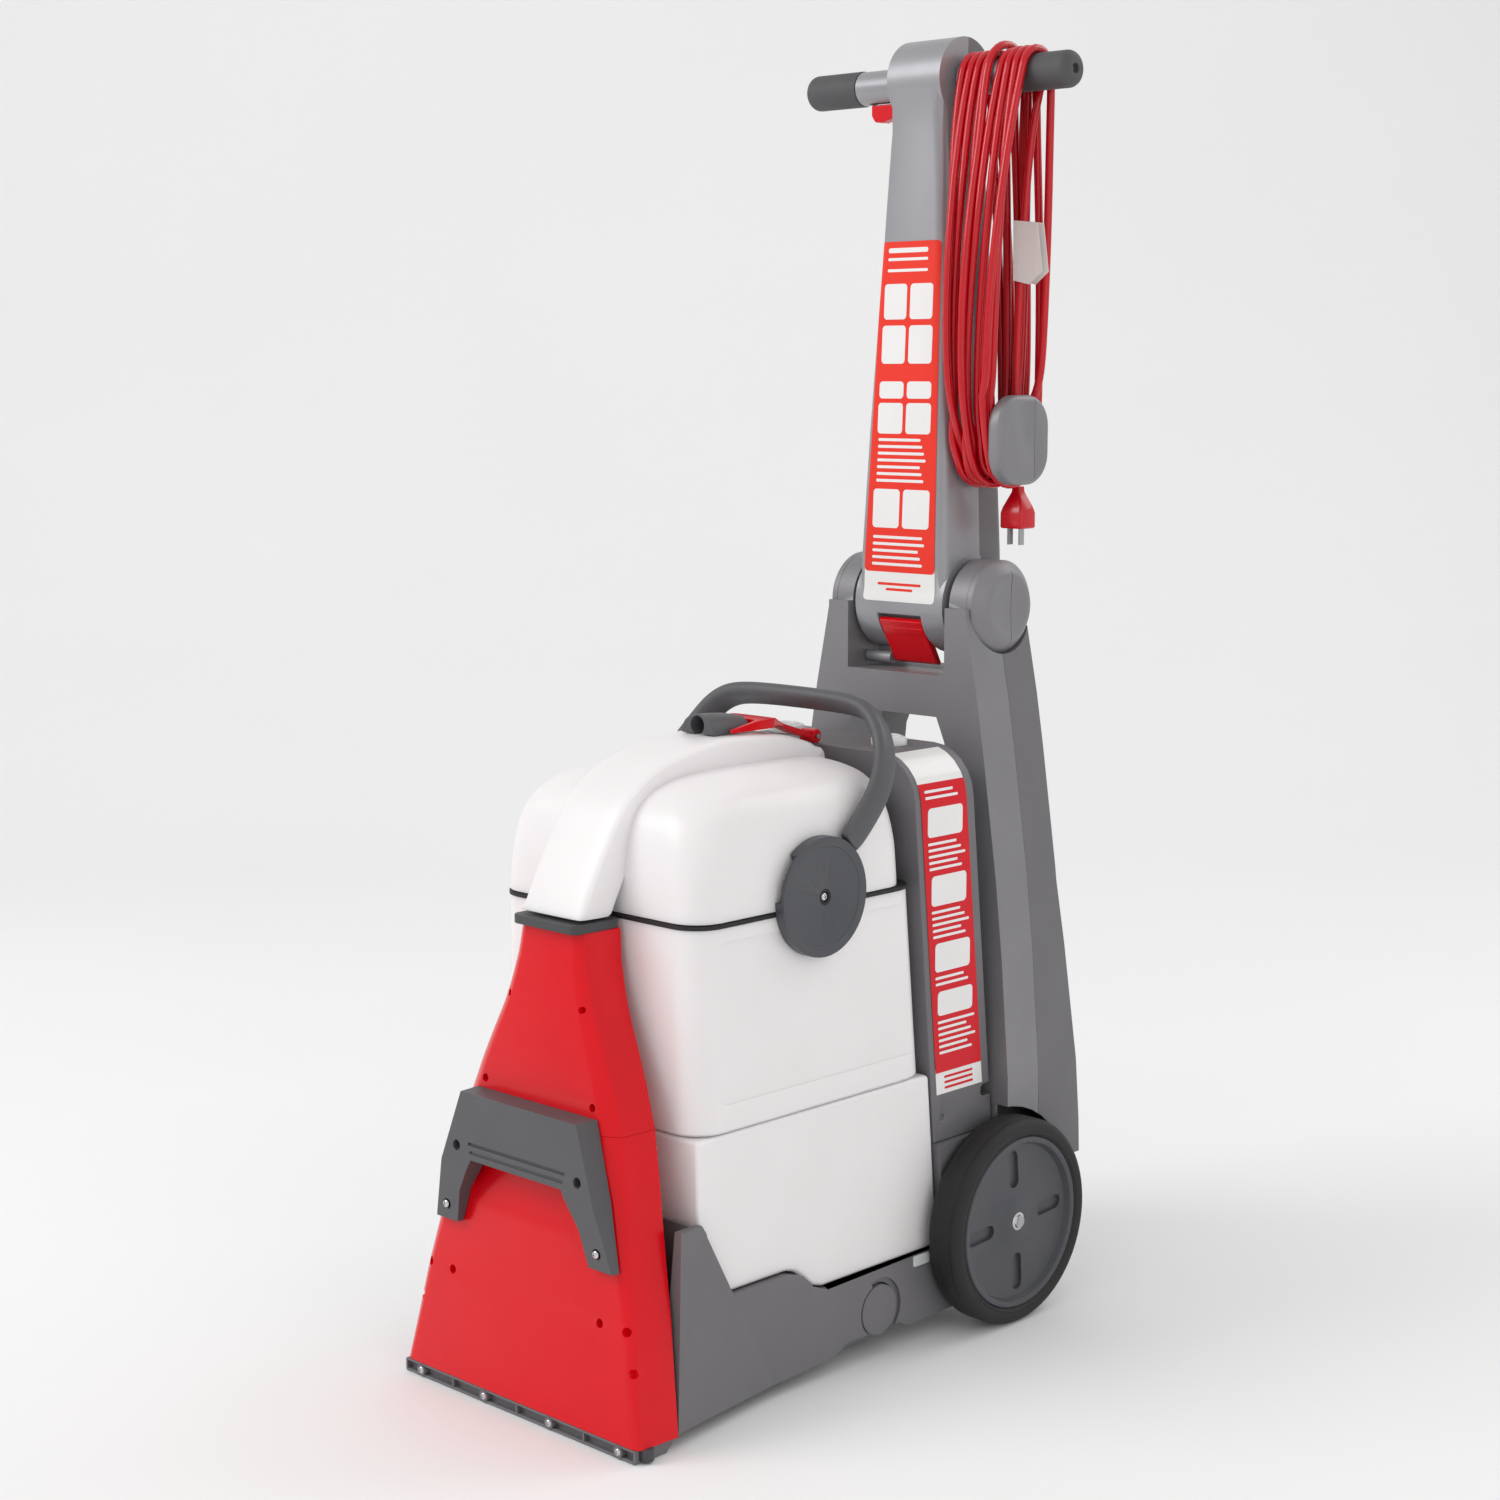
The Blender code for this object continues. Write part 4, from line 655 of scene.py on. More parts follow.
def build_lid_top():
    """Snout, its red fork lever, the carry bail and the two clamping discs."""
    lo, hi = low("drain_cap"), high("drain_cap")
    rings = []
    for y, size, lift in ((lo[1], 0.94, 0.0), (lo[1] + 0.0012, 1.0, 0.0), (lo[1] + 0.012, 1.0, 0.0),
                          (lo[1] + 0.030, 0.92, 0.0), (hi[1], 0.72, 0.0)):
        half = hi[0] * size
        tall = (hi[2] - lo[2]) * size
        rings.append([(half * math.cos(math.radians(a)), y,
                       lo[2] + tall * abs(math.sin(math.radians(a))) ** 0.85)
                      for a in range(0, 181, 9)])
    snout = piece("drain_snout", loft(rings), "dark", "lid", "drain_cap")
    mouth = bmesh.new()
    lathe([(0, -0.020), (0.0062, -0.020), (0.0085, 0.0030), (0, 0.0030)], "y", (0, lo[1], lo[2] + 0.0072),
          32, mouth)
    combined(snout, mouth)
    bevel(snout, 0.0008)
    smooth(snout)

    build_lever()

    bm = node_form("carry_handle")
    bmesh.ops.join_triangles(bm, faces=bm.faces, angle_face_threshold=0.7, angle_shape_threshold=0.9)
    bail = piece("carry_bail", bm, "dark", "carry", "carry_handle")
    step = bail.modifiers.new("round_form", "SUBSURF")
    step.levels = step.render_levels = 2
    for side, sign in SIDES:
        node = "cam_disc_" + side
        centre = middle(node)
        rim = bmesh.new()
        lathe([(0, -0.0006), (0.0425, -0.0006), (0.0432, 0.0004), (0.0432, 0.003), (0, 0.003)], "x",
              (0, 0, 0), 96, rim)
        face = high(node)[0] if sign > 0 else low(node)[0]
        bmesh.ops.transform(rim, matrix=Matrix.Translation((face, centre[1], centre[2]))
                            @ Matrix.Rotation(0 if sign > 0 else math.pi, 4, "Z"), verts=rim.verts)
        rounded_node(node, "wheel", 0.0010, rim)
        # painted shade: a black ring laid into the disc's centre recess round the screw, where the recess
        # lies in shade
        recess_shade = lathe([(0.0046, -0.0030), (0.0068, -0.0030), (0.0068, -0.0009), (0.0046, -0.0009)], "x",
                    (0, 0, 0), 32)
        bmesh.ops.transform(recess_shade, matrix=Matrix.Translation((face, centre[1], centre[2]))
                            @ Matrix.Rotation(0 if sign > 0 else math.pi, 4, "Z"), verts=recess_shade.verts)
        recess_shade = piece("cam_recess_shade_" + side, recess_shade, "black", "carry")
        head = screw("cam_screw_head_" + side, (face - sign * 0.0022, centre[1], centre[2]), "x", 0.0036,
                     "carry", sign)
        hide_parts("cam_screw_" + side)
    for side in ("left", "right"):
        node = "port_cap_" + side
        centre = middle(node)
        r, _, h = half_size(node)
        bm = lathe([(0, -h), (r, -h), (r, h - 0.0035), (r - 0.0006, h - 0.0020), (r - 0.0030, h - 0.0012),
                    (r - 0.0045, h - 0.0012), (r - 0.0055, h), (r - 0.0075, h), (r - 0.0085, h - 0.0025),
                    (0, h - 0.0025)], "z", centre, 48)
        piece(node + "_turned", bm, "cap", "base", node)


# --- base, rear housing and frame -----------------------------------------------------------------

def build_base():
    disc = middle("pivot_disc_right")
    cutter = bmesh.new()
    outer = arc(disc[1], disc[2], 0.0285, -62, 112, 24)
    inner = arc(disc[1], disc[2], 0.0232, 112, -62, 24)
    half = 0.1280
    for sign in (1, -1):
        side_prism(outer + inner, sign, half - 0.0030, half + 0.010, cutter)
    rounded_node("chassis", "grey", 0.0016, cutter)
    for side, sign in SIDES:
        node = "pivot_disc_" + side
        rounded_node(node, "grey", 0.0012)
        tab = side_prism(box_outline(0.0620, 0.0840, 0.0700, 0.0795, 0.0020, 3), sign, 0.1270, 0.1292)
        tab = piece("tank_catch_" + side, tab, "cap", "base")
        bevel(tab, 0.0006)
    rounded_node("brush_deck", "grey", 0.0010)


def build_column():
    """The rear housing: rounded edges, a hook recess at its rear edge and a small hole at its front."""
    cutter = bmesh.new()
    half = high("rear_housing")[0]
    for sign in (1, -1):
        hook_recess = capsule(0.1780, 0.2100, 0.0340, 0.0110, 0, 6)
        side_prism(hook_recess, sign, half - 0.0100, half + 0.010, cutter)
        small_hole = arc(0.1070, 0.1960, 0.0030, 0, 345, 23)
        side_prism(small_hole, sign, half - 0.0024, half + 0.010, cutter)
    return rounded_node("rear_housing", "grey", 0.0030, cutter, 3, 40)


def build_frame():
    rounded_node("frame_front", "frame_grey", 0.0022, None, 3, 34)
    rounded_node("frame_rear", "grey", 0.0022, None, 3, 34)
    rod = lathe([(0, -0.0150), (0.0055, -0.0150), (0.0055, 0.0150), (0, 0.0150)], "x",
                (-0.0420, 0.2080, 0.5900), 24)
    rod = piece("latch_rod", rod, "silver", "base")
    for side, sign in SIDES:
        node = "boss_cap_" + side
        centre = middle(node)
        w, _, r = half_size(node)
        rim = [(0, -w), (r, -w), (r, w - 0.0100), (r - 0.0012, w - 0.0085), (r - 0.0105, w - 0.0008),
               (r - 0.0125, w), (0.0245, w), (0.0235, w - 0.0005), (0, w - 0.0016)]
        bm = lathe([(u, sign * v) for u, v in rim], "x", centre, 96)
        cap = piece(node + "_turned", bm, "frame_grey", "base", node, 28)
        seam = bmesh.new()
        face = sign * (abs(centre[0]) + w)
        prism(box_outline(0.2318, 0.2324, centre[2] - r, centre[2] + r, 0.0002, 1), "x",
              *sorted((face - sign * 0.0024, face + sign * 0.004)), seam)
        combined(cap, seam)
        smooth(cap, 28)


# --- wheels -----------------------------------------------------------------------------------------

def build_wheels():
    for side, sign in SIDES:
        tyre, hub, nut = "tyre_" + side, "hub_" + side, "push_nut_" + side
        centre = middle(tyre)
        w, _, r = half_size(tyre)
        inner = half_size(hub)[2]
        edge = arc(r - 0.0085, w - 0.0085, 0.0085, 84, 4, 8)
        tread = [(inner + 0.0003, w - 0.0030), (inner + 0.0030, w - 0.0004),
                 (inner + 0.0042, w - 0.0010)] + edge
        tread += [(r - 0.0004, w - 0.0100), (r, w - 0.0110)]
        section = tread + [(u, -v) for u, v in reversed(tread)]
        piece(tyre + "_turned", lathe(section, "x", centre, 120), "tyre", BODY_OF[tyre], tyre, 30)
        lip = w - 0.0030
        dish = w - 0.0095
        profile = [(0, -w), (0.0170, -w), (0.0185, dish - 0.0040), (0.0690, dish - 0.0040),
                   (0.0710, -w + 0.003),
                   (inner, -w + 0.003), (inner, lip), (inner - 0.0008, lip + 0.0010),
                   (inner - 0.0042, lip + 0.0010),
                   (inner - 0.0056, lip + 0.0002), (inner - 0.0080, dish + 0.0012), (inner - 0.0105, dish),
                   (0.0230, dish + 0.0010), (0.0190, dish + 0.0026), (0.0100, dish + 0.0034),
                   (0, dish + 0.0034)]
        disc = piece(hub + "_turned", lathe([(u, sign * v) for u, v in profile], "x", centre, 120), "wheel",
                     BODY_OF[hub], hub, 30)
        slots = bmesh.new()
        for k in range(4):
            a = math.radians(90 * k + 4)
            spot = (centre[1] + 0.0485 * math.cos(a), centre[2] + 0.0485 * math.sin(a))
            face = sign * abs(centre[0]) + sign * dish
            prism(capsule(*spot, 0.0350, 0.0128, math.degrees(a)), "x",
                  *sorted((face - sign * 0.0030, face + sign * 0.010)), slots)
        combined(disc, slots)
        bevel(disc, 0.0009, 2, 40)
        smooth(disc, 30)
        face = sign * (abs(centre[0]) + dish + 0.0034)
        cap = [(0, -0.0005), (0.0082, -0.0005), (0.0082, 0.0006), (0.0062, 0.0012), (0.0056, 0.0026),
               (0.0030, 0.0036), (0.0020, 0.0022), (0, 0.0022)]
        bm = lathe([(u, sign * v) for u, v in cap], "x", (face, centre[1], centre[2]), 48)
        piece(nut + "_pressed", bm, "chrome", BODY_OF[nut], nut)


# --- handle, grips, cord fittings -------------------------------------------------------------------

def build_handle():
    shells = []
    for node, mat in (("handle_front", "silver"), ("handle_rear", "grey")):
        off = prism(box_outline(0.180, 0.268, 0.745, 0.842, 0.002, 2), "x", 0.0968, 0.1200)
        shells.append(rounded_node(node, mat, 0.0022, off, 3, 34))
    build_hook_plate()
    rounded_node("release_latch", "red", 0.0008)
    rounded_node("trigger", "red", 0.0016)
    rounded_node("power_switch", "red", 0.0006)
    ridge = prism([(0.1896, 0.6218), (0.1884, 0.6204), (0.1916, 0.6148), (0.1930, 0.6156)], "x", -0.0240,
                  0.0240)
    ridge = piece("latch_ridge", ridge, "red", "latch")
    bevel(ridge, 0.0004, 2)
    for side, sign in SIDES:
        grip, collar = "grip_" + side, "bar_collar_" + side
        centre = middle(grip)
        run, _, r = half_size(grip)
        end = arc(run - 0.0085, r - 0.0085, 0.0085, 90, 8, 10)
        profile = [(r - 0.0004, -run), (r, -run + 0.0008)] + [(v, u) for u, v in end]
        profile += [(0.0052, run), (0.0044, run - 0.0006), (0.0044, run - 0.0120), (0, run - 0.0120),
                    (0, -run)]
        piece(grip + "_moulded", lathe([(u, sign * v) for u, v in profile], "x", centre, 96), "grip",
              "handle",
              grip, 35)
        centre = middle(collar)
        run, _, r = half_size(collar)
        sleeve = lathe([(0.0128, -run), (r - 0.0005, -run), (r, -run + 0.0006), (r, run - 0.0006),
                        (r - 0.0005, run), (0.0128, run)], "x", centre, 96)
        sleeve = piece(collar + "_sleeve", sleeve, "silver", "handle", collar)
        if side == "left":
            slot = prism(box_outline(-0.0800, -0.0340, centre[1] - 0.0062, centre[1] + 0.0062, 0.001, 2), "z",
                         centre[2] - 0.030, centre[2] - 0.0100)
            combined(sleeve, slot)
            smooth(sleeve)
    rounded_node("cord_inlet", "grey", 0.0015)
    return shells[0]


def build_hook_plate():
    """The soft oval plate at the end of the cord hook, with the seam of its two halves."""
    y, z, dy, dz = 0.2240, 0.7940, 0.0360, 0.0400
    plate = prism(box_outline(y - dy, y + dy, z - dz, z + dz, 0.0280, 10), "x", 0.0968, 0.1130)
    plate = piece("hook_plate", plate, "frame_grey", "handle")
    seam = prism(box_outline(0.2371, 0.2378, z - dz - 0.01, z + dz + 0.01, 0.0002, 1), "x", 0.1124, 0.1200)
    bevel(plate, 0.0055, 6, 40)
    keep_shape(plate)
    combined(plate, seam)
    smooth(plate, 30)


def build_plug():
    """The moulded plug: a tapered body with a waist and three metal pins."""
    lo, hi = low("cord_plug"), high("cord_plug")
    centre = (lo + hi) / 2
    body_low = lo[2] + 0.0150
    wide, deep = (hi[0] - lo[0]) / 2, (hi[1] - lo[1]) / 2
    rows = [(0.92, 0.92, body_low), (1.0, 1.0, body_low + 0.0012), (1.0, 1.0, body_low + 0.0140),
            (0.90, 0.84, body_low + 0.0190), (0.52, 0.56, body_low + 0.0285), (0.34, 0.42, body_low + 0.0330),
            (0.32, 0.36, hi[2])]
    rings = []
    for a, b, z in rows:
        rings.append([(centre[0] + u, centre[1] + v, z)
                      for u, v in box_outline(-wide * a, wide * a, -deep * b, deep * b,
                                              0.35 * min(wide * a, deep * b), 4)])
    plug = piece("mains_plug", loft(rings), "cord", "handle", "cord_plug", 40)
    pins = bmesh.new()
    for x in (-0.0064, 0.0064):
        prism([(centre[0] + x - 0.0008, centre[1] - 0.0060), (centre[0] + x + 0.0008, centre[1] - 0.0060),
               (centre[0] + x + 0.0008, centre[1] + 0.0004), (centre[0] + x - 0.0008, centre[1] + 0.0004)],
              "z", lo[2], body_low + 0.001, pins)
    lathe([(0, 0), (0.0024, 0), (0.0024, 0.0150), (0.0012, 0.0170), (0, 0.0172)], "z",
          (centre[0], centre[1] + 0.0052, lo[2] - 0.0005), 20, pins)
    pins = piece("plug_pins", pins, "steel", "handle")
    return plug, pins


def build_relief():
    """A black ribbed sleeve that tapers towards the cord."""
    lo, hi = low("strain_relief"), high("strain_relief")
    centre = (lo + hi) / 2
    r = (hi[0] - lo[0]) / 2
    length = hi[2] - lo[2]
    profile = [(0.0040, 0), (r * 0.72, 0)]
    for k in range(7):
        t0, t1 = (k + 0.15) / 7, (k + 0.75) / 7
        size = r * (0.74 + 0.26 * t1)
        profile += [(size * 0.80, t0 * length), (size, (t0 + 0.04) * length), (size, t1 * length),
                    (size * 0.80, (t1 + 0.03) * length)]
    profile += [(r, length), (0.0040, length)]
    piece("ribbed_relief", lathe(profile, "z", (centre[0], centre[1], lo[2]), 48), "black", "handle",
          "strain_relief")


def build_tag(route):
    """A blank white card folded round the hanging end of the cord."""
    spot = min(route, key=lambda p: abs(p[2] - 0.962) + 4 * abs(p[1] - 0.250) + abs(p[0] - 0.085))
    x, y = spot[0], spot[1]
    outline = [(-0.0060, -0.0270), (0.0120, -0.0310), (0.0265, -0.0200), (0.0205, 0.0230), (-0.0070, 0.0260)]
    bm = bmesh.new()
    for side in (1, -1):
        points = [(x + u, z + spot[2]) for u, z in outline]
        prism(points, "y", y - 0.0046 * side - 0.0002, y - 0.0046 * side + 0.0002, bm)
    tag = piece("blank_tag", bm, "card", "handle")
    return tag


# --- labels -------------------------------------------------------------------------------------------

def surface_of(obj):
    """The finished surface of a piece, to lay printed films on."""
    bpy.context.view_layer.update()
    mesh = obj.evaluated_get(bpy.context.evaluated_depsgraph_get()).to_mesh()
    mesh.calc_loop_triangles()
    return BVHTree.FromPolygons([v.co for v in mesh.vertices], [t.vertices for t in mesh.loop_triangles])


def label(name, outlines, axis, toward, tree, mat, lift, step=0.0):
    """A thin printed film: flat outlines dropped along an axis onto a surface."""
    bm = bmesh.new()
    for outline in outlines:
        bm.faces.new([bm.verts.new(AXES[axis] @ Vector((u, v, 0))) for u, v in outline])
    k = {"x": 0, "y": 1}[axis]
    if step:
        for way, a in ((1 - k, 0), (2, 1)):
            lo = min(p[a] for outline in outlines for p in outline)
            hi = max(p[a] for outline in outlines for p in outline)
            count = int((hi - lo) / step)
            normal = Vector([1.0 if i == way else 0.0 for i in range(3)])
            for i in range(1, count + 1):
                geom = bm.verts[:] + bm.edges[:] + bm.faces[:]
                spot = normal * (lo + (hi - lo) * i / (count + 1))
                bmesh.ops.bisect_plane(bm, geom=geom, plane_co=spot, plane_no=normal)
    way = Vector([-toward if i == k else 0.0 for i in range(3)])
    for v in bm.verts:
        start = v.co.copy()
        start[k] = toward * 0.6
        where = tree.ray_cast(start, way)[0]
        if where is not None:
            v.co = where - way * lift
    bm.normal_update()
    flipped = [f for f in bm.faces if f.normal[k] * toward < 0]
    bmesh.ops.reverse_faces(bm, faces=flipped)
    bmesh.ops.solidify(bm, geom=bm.faces[:], thickness=0.00012)
    return piece(name, bm, mat, LABEL_BODY[name.split("_")[0]], None, 30)


LABEL_BODY = {"handle": "handle", "column": "base"}


def bars(rows):
    """Plain bars where lines of small print would be; they say nothing."""
    return [box_outline(u0, u1, v - tall / 2, v + tall / 2, tall * 0.4, 2) for u0, u1, v, tall in rows]


def build_handle_label(shell):
    """Instructions as a blank orange-red film with white picture boxes and bars for print."""
    base = surface_of(shell)

    def half(z):
        return 0.0430 + (0.0345 - 0.0430) * (z - 0.645) / (0.972 - 0.645)

    def strip(z0, z1, r):
        ends = [(half(v) / 0.040 * u, v) for u, v in box_outline(-0.040, 0.040, z0, z1, r, 5)]
        return [ends]

    label("handle_label_footer", strip(0.6450, 0.6800, 0.004), "y", -1, base, "label_white", 0.00030, 0.004)
    label("handle_label_field", strip(0.6720, 0.9720, 0.004), "y", -1, base, "label_orange", 0.00050, 0.0028)
    boxes = []
    for z0, z1 in ((0.902, 0.934), (0.862, 0.8965), (0.8305, 0.8460), (0.7985, 0.8265), (0.7125, 0.7480)):
        w = half((z0 + z1) / 2)
        for side in (-1, 1):
            u0, u1 = sorted((side * 0.0020, side * (w - 0.0070)))
            boxes.append(box_outline(u0, u1, z0, z1, 0.0035, 4))
    label("handle_label_boxes", boxes, "y", -1, base, "label_white", 0.00066, 0.012)
    rows = []
    for top, count in ((0.9640, 1), (0.9560, 1), (0.9460, 1), (0.7930, 7), (0.7040, 5)):
        for k in range(count):
            z = top - 0.0062 * k
            w = half(z) - 0.0090
            rows.append((-w, w * (0.9 - 0.22 * ((k * 3 + count) % 4) / 3), z,
                         0.0044 if top > 0.96 else 0.0026))
    label("handle_label_print", bars(rows), "y", -1, base, "label_white", 0.00066)
    label("handle_label_footer_print", bars([(-0.026, 0.026, 0.6610, 0.0024),
                                             (-0.016, 0.016, 0.6560, 0.0024)]),
          "y", -1, base, "label_orange", 0.00050)


def build_column_label(shell):
    """The red film on the housing's right side, with a white patch over its shoulder."""
    base = surface_of(shell)

    def span(z, a, b):
        front = tank_rear(z) + 0.0085
        rear = 0.1780 - 0.036 * (z - 0.174) / 0.353 - 0.0110
        return front + (rear - front) * a, front + (rear - front) * b

    def strip(z0, z1):
        f0, r0 = span(z0, 0, 1)
        f1, r1 = span(z1, 0, 1)
        return [[(f0, z0), (r0, z0), (r1, z1), (f1, z1)]]

    label("column_label_footer", strip(0.2180, 0.2420), "x", 1, base, "label_white", 0.00030, 0.012)
    label("column_label_patch", strip(0.4960, 0.5250), "x", 1, base, "label_white", 0.00050, 0.0016)
    label("column_label_field", strip(0.2380, 0.5000), "x", 1, base, "label_red", 0.00060, 0.004)
    boxes = []
    for z0, z1 in ((0.4520, 0.4780), (0.3900, 0.4170), (0.3300, 0.3560), (0.2900, 0.3120)):
        f, r = span((z0 + z1) / 2, 0.12, 0.88)
        boxes.append(box_outline(f, r, z0, z1, 0.0040, 4))
    label("column_label_boxes", boxes, "x", 1, base, "label_white", 0.00080, 0.010)
    rows = []
    for top, lines in ((0.4930, 2), (0.4460, 5), (0.3845, 5), (0.3245, 2), (0.2840, 6)):
        for k in range(lines):
            z = top - 0.0056 * k
            f, r = span(z, 0.10, 0.90 - 0.18 * ((k * 5 + lines) % 3) / 2)
            rows.append((f, r, z, 0.0024))
    label("column_label_print", bars(rows), "x", 1, base, "label_white", 0.00080)
    foot = [(*span(z, 0.18, 0.80), z, 0.0022) for z in (0.2330, 0.2280, 0.2230)]
    label("column_label_footer_print", bars(foot), "x", 1, base, "label_red", 0.00050)


# --- power cord -----------------------------------------------------------------------------------

CORD_D = 0.0075
GRIP_AT = middle("grip_right")
GRIP_R = (high("grip_right") - low("grip_right")).z / 2
SLEEVE_R = (high("bar_collar_right") - low("bar_collar_right")).z / 2
RELIEF = middle("strain_relief").xy.to_3d() + Vector((0, 0, low("strain_relief").z))
PLUG_TOP = middle("cord_plug").xy.to_3d() + Vector((0, 0, high("cord_plug").z))
STEM = (0.2285, 0.7940, 0.0115, 0.0110)    # cord hook's stem: y, z and its half sizes
PLATE_X = 0.0970                           # inner face of the hook's plate

# each turn: x over the bar, layer over the bar, x under the hook, layer under the hook, bulge
TURNS = [(0.0425, 0, 0.0535, 0, 0.15), (0.0600, 0, 0.0570, 1, 0.55), (0.0515, 0, 0.0612, 0, 0.95),
         (0.0690, 0, 0.0655, 1, 0.20), (0.0860, 0, 0.0690, 0, 0.70), (0.0775, 1, 0.0735, 1, 1.00),
         (0.0945, 0, 0.0765, 0, 0.35), (0.1115, 0, 0.0925, 1, 0.80), (0.1030, 0, 0.0925, 0, 0.10)]


LAYER = 0.0078                  # how much further out a second layer of strands lies
# height, the nearest and the farthest y of the strands in front of the bar and behind it
FRONT_RUN = ((0.8300, 0.2000, 0.1830), (0.9000, 0.1985, 0.1790), (0.9800, 0.2005, 0.1850),
             (1.0600, 0.2050, 0.1985))
BACK_RUN = ((1.0600, 0.2560, 0.2590), (0.9800, 0.2580, 0.2660), (0.9000, 0.2590, 0.2700),
            (0.8300, 0.2590, 0.2690))


def run_knots(run, under, top, bulge):
    """Knots of one run between the hook and the bar."""
    knots = []
    for z, inner, outer in run:
        share = (z - 0.7600) / 0.3500
        x = under + (top - under) * (share ** 0.8)
        knots.append(Vector((x, inner + (outer - inner) * bulge, z)))
    return knots


def cord_guess():
    """The route before the strands settle: turn after turn over the bar and under the hook."""
    y0, z0 = GRIP_AT.y, GRIP_AT.z
    knots = [RELIEF, RELIEF - Vector((0, 0, 0.013)), Vector((0.0425, 0.2808, 0.8400)),
             Vector((0.0480, 0.2790, 0.8100)), Vector((0.0520, 0.2680, 0.7820))]
    for i, (top, high_layer, under, low_layer, bulge) in enumerate(TURNS):
        radius = 0.0282 + LAYER * low_layer
        for a in (-35, -65, -90, -115, -145):
            knots.append(Vector((under, 0.2290 + radius * math.cos(math.radians(a)),
                                 0.7880 + radius * math.sin(math.radians(a)))))
        knots += run_knots(FRONT_RUN, under, top, bulge)
        radius = GRIP_R + CORD_D / 2 + 0.0006 + LAYER * high_layer
        for a in (165, 130, 90, 50, 15):
            knots.append(Vector((top, y0 + radius * math.cos(math.radians(a)),
                                 z0 + radius * math.sin(math.radians(a)))))
        if i == len(TURNS) - 1:
            break
        beneath = TURNS[i + 1][2]
        bulge = TURNS[(i * 2 + 1) % len(TURNS)][4]
        knots += run_knots(BACK_RUN, beneath, top, bulge)
    knots += [Vector((0.0960, 0.2470, 1.0600)), Vector((0.0900, 0.2450, 0.9700)),
              Vector((0.0855, 0.2448, 0.8800)), Vector((0.0845, 0.2460, 0.8000)),
              PLUG_TOP + Vector((0, -0.0010, 0.0250)), PLUG_TOP + Vector((0, 0, 0.0010))]
    return knots


def smooth_route(knots, spacing):
    """Evenly spaced points on the smooth curve through the knots (Catmull-Rom)."""
    padded = [2 * knots[0] - knots[1]] + knots + [2 * knots[-1] - knots[-2]]
    fine = []
    for p0, p1, p2, p3 in zip(padded, padded[1:], padded[2:], padded[3:]):
        for i in range(12):
            t = i / 12
            fine.append(0.5 * (2 * p1 + (p2 - p0) * t + (2 * p0 - 5 * p1 + 4 * p2 - p3) * t * t
                               + (3 * p1 - p0 - 3 * p2 + p3) * t ** 3))
    fine.append(knots[-1])
    fine = np.array([list(p) for p in fine])
    along = np.concatenate(([0], np.cumsum(np.linalg.norm(np.diff(fine, axis=0), axis=1))))
    count = int(round(along[-1] / spacing)) + 1
    at = np.linspace(0, along[-1], count)
    return np.stack([np.interp(at, along, fine[:, k]) for k in range(3)], axis=1)


def keep_out(points):
    """Push points off the bar, the hook's stem, the handle's side and the hook's plate."""
    reach = CORD_D / 2 + 0.0003
    x, y, z = points[:, 0], points[:, 1], points[:, 2]
    over = np.where(x < high("bar_collar_right").x, SLEEVE_R, GRIP_R) + reach
    dy, dz = y - GRIP_AT.y, z - GRIP_AT.z
    far = np.maximum(np.hypot(dy, dz), 1e-6)
    near = far < over
    y[near] = GRIP_AT.y + (dy / far * over)[near]
    z[near] = GRIP_AT.z + (dz / far * over)[near]
    dy, dz = y - STEM[0], z - STEM[1]
    in_y, in_z = STEM[2] + reach - np.abs(dy), STEM[3] + reach - np.abs(dz)
    hit = (in_y > 0) & (in_z > 0) & (x > 0.03)
    across = hit & (in_y < in_z)
    y[across] += (np.sign(dy) * in_y)[across]
    z[hit & ~across] += (np.sign(dz) * in_z)[hit & ~across]
    side = 0.0525 - (z - 0.643) * 0.0451 + reach
    x[:] = np.where((z < 1.08) & (y < 0.275), np.maximum(x, side), np.maximum(x, 0.0310 + reach))
    by_plate = (z < 0.836) & (z > 0.752) & (x < 0.105)
    x[by_plate] = np.minimum(x[by_plate], PLATE_X - reach)


def settle(points, rounds):
    """Let the strands push each other apart until none lies in another."""
    start = points.copy()
    rest = np.linalg.norm(np.diff(points, axis=0), axis=1).mean()
    count = len(points)
    apart = CORD_D * 1.03
    first, second = np.triu_indices(count, 4)
    for step in range(rounds):
        if step % 8 == 0:
            near = np.linalg.norm(points[first] - points[second], axis=1) < apart * 2
            a, b = first[near], second[near]
        line = points[a] - points[b]
        dist = np.maximum(np.linalg.norm(line, axis=1), 1e-6)
        lack = np.clip(apart - dist, 0, None)
        push = line * (0.25 * lack / dist)[:, None]
        np.add.at(points, a, push)
        np.add.at(points, b, -push)
        centre = (points[:-2] + points[2:]) / 2
        points[1:-1] += 0.12 * (centre - points[1:-1])
        points[6:-6] += 0.01 * (start[6:-6] - points[6:-6])
        for _ in range(2):
            line = points[1:] - points[:-1]
            size = np.linalg.norm(line, axis=1)
            fix = line * (0.4 * (size - rest) / size)[:, None]
            points[:-1] += fix
            points[1:] -= fix
        keep_out(points)
        points[:3] = start[:3]
        points[-4:] = start[-4:]
    return points


def build_cord():
    route = settle(smooth_route(cord_guess(), 0.0062), 160)
    curve = bpy.data.curves.new("power_cord", "CURVE")
    curve.dimensions = "3D"
    curve.bevel_depth = CORD_D / 2
    curve.bevel_resolution = 3
    curve.use_fill_caps = True
    spline = curve.splines.new("POLY")
    spline.points.add(len(route) - 1)
    for point, co in zip(spline.points, route):
        point.co = (*co, 1)
    cord = bpy.data.objects.new("power_cord", curve)
    PIECES.objects.link(cord)
    dress(cord, "cord")
    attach(cord, "handle")
    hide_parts("supply_lead", "cord_hank", "plug_strand")
    return cord, route


# --- the machine ---------------------------------------------------------------------------------------

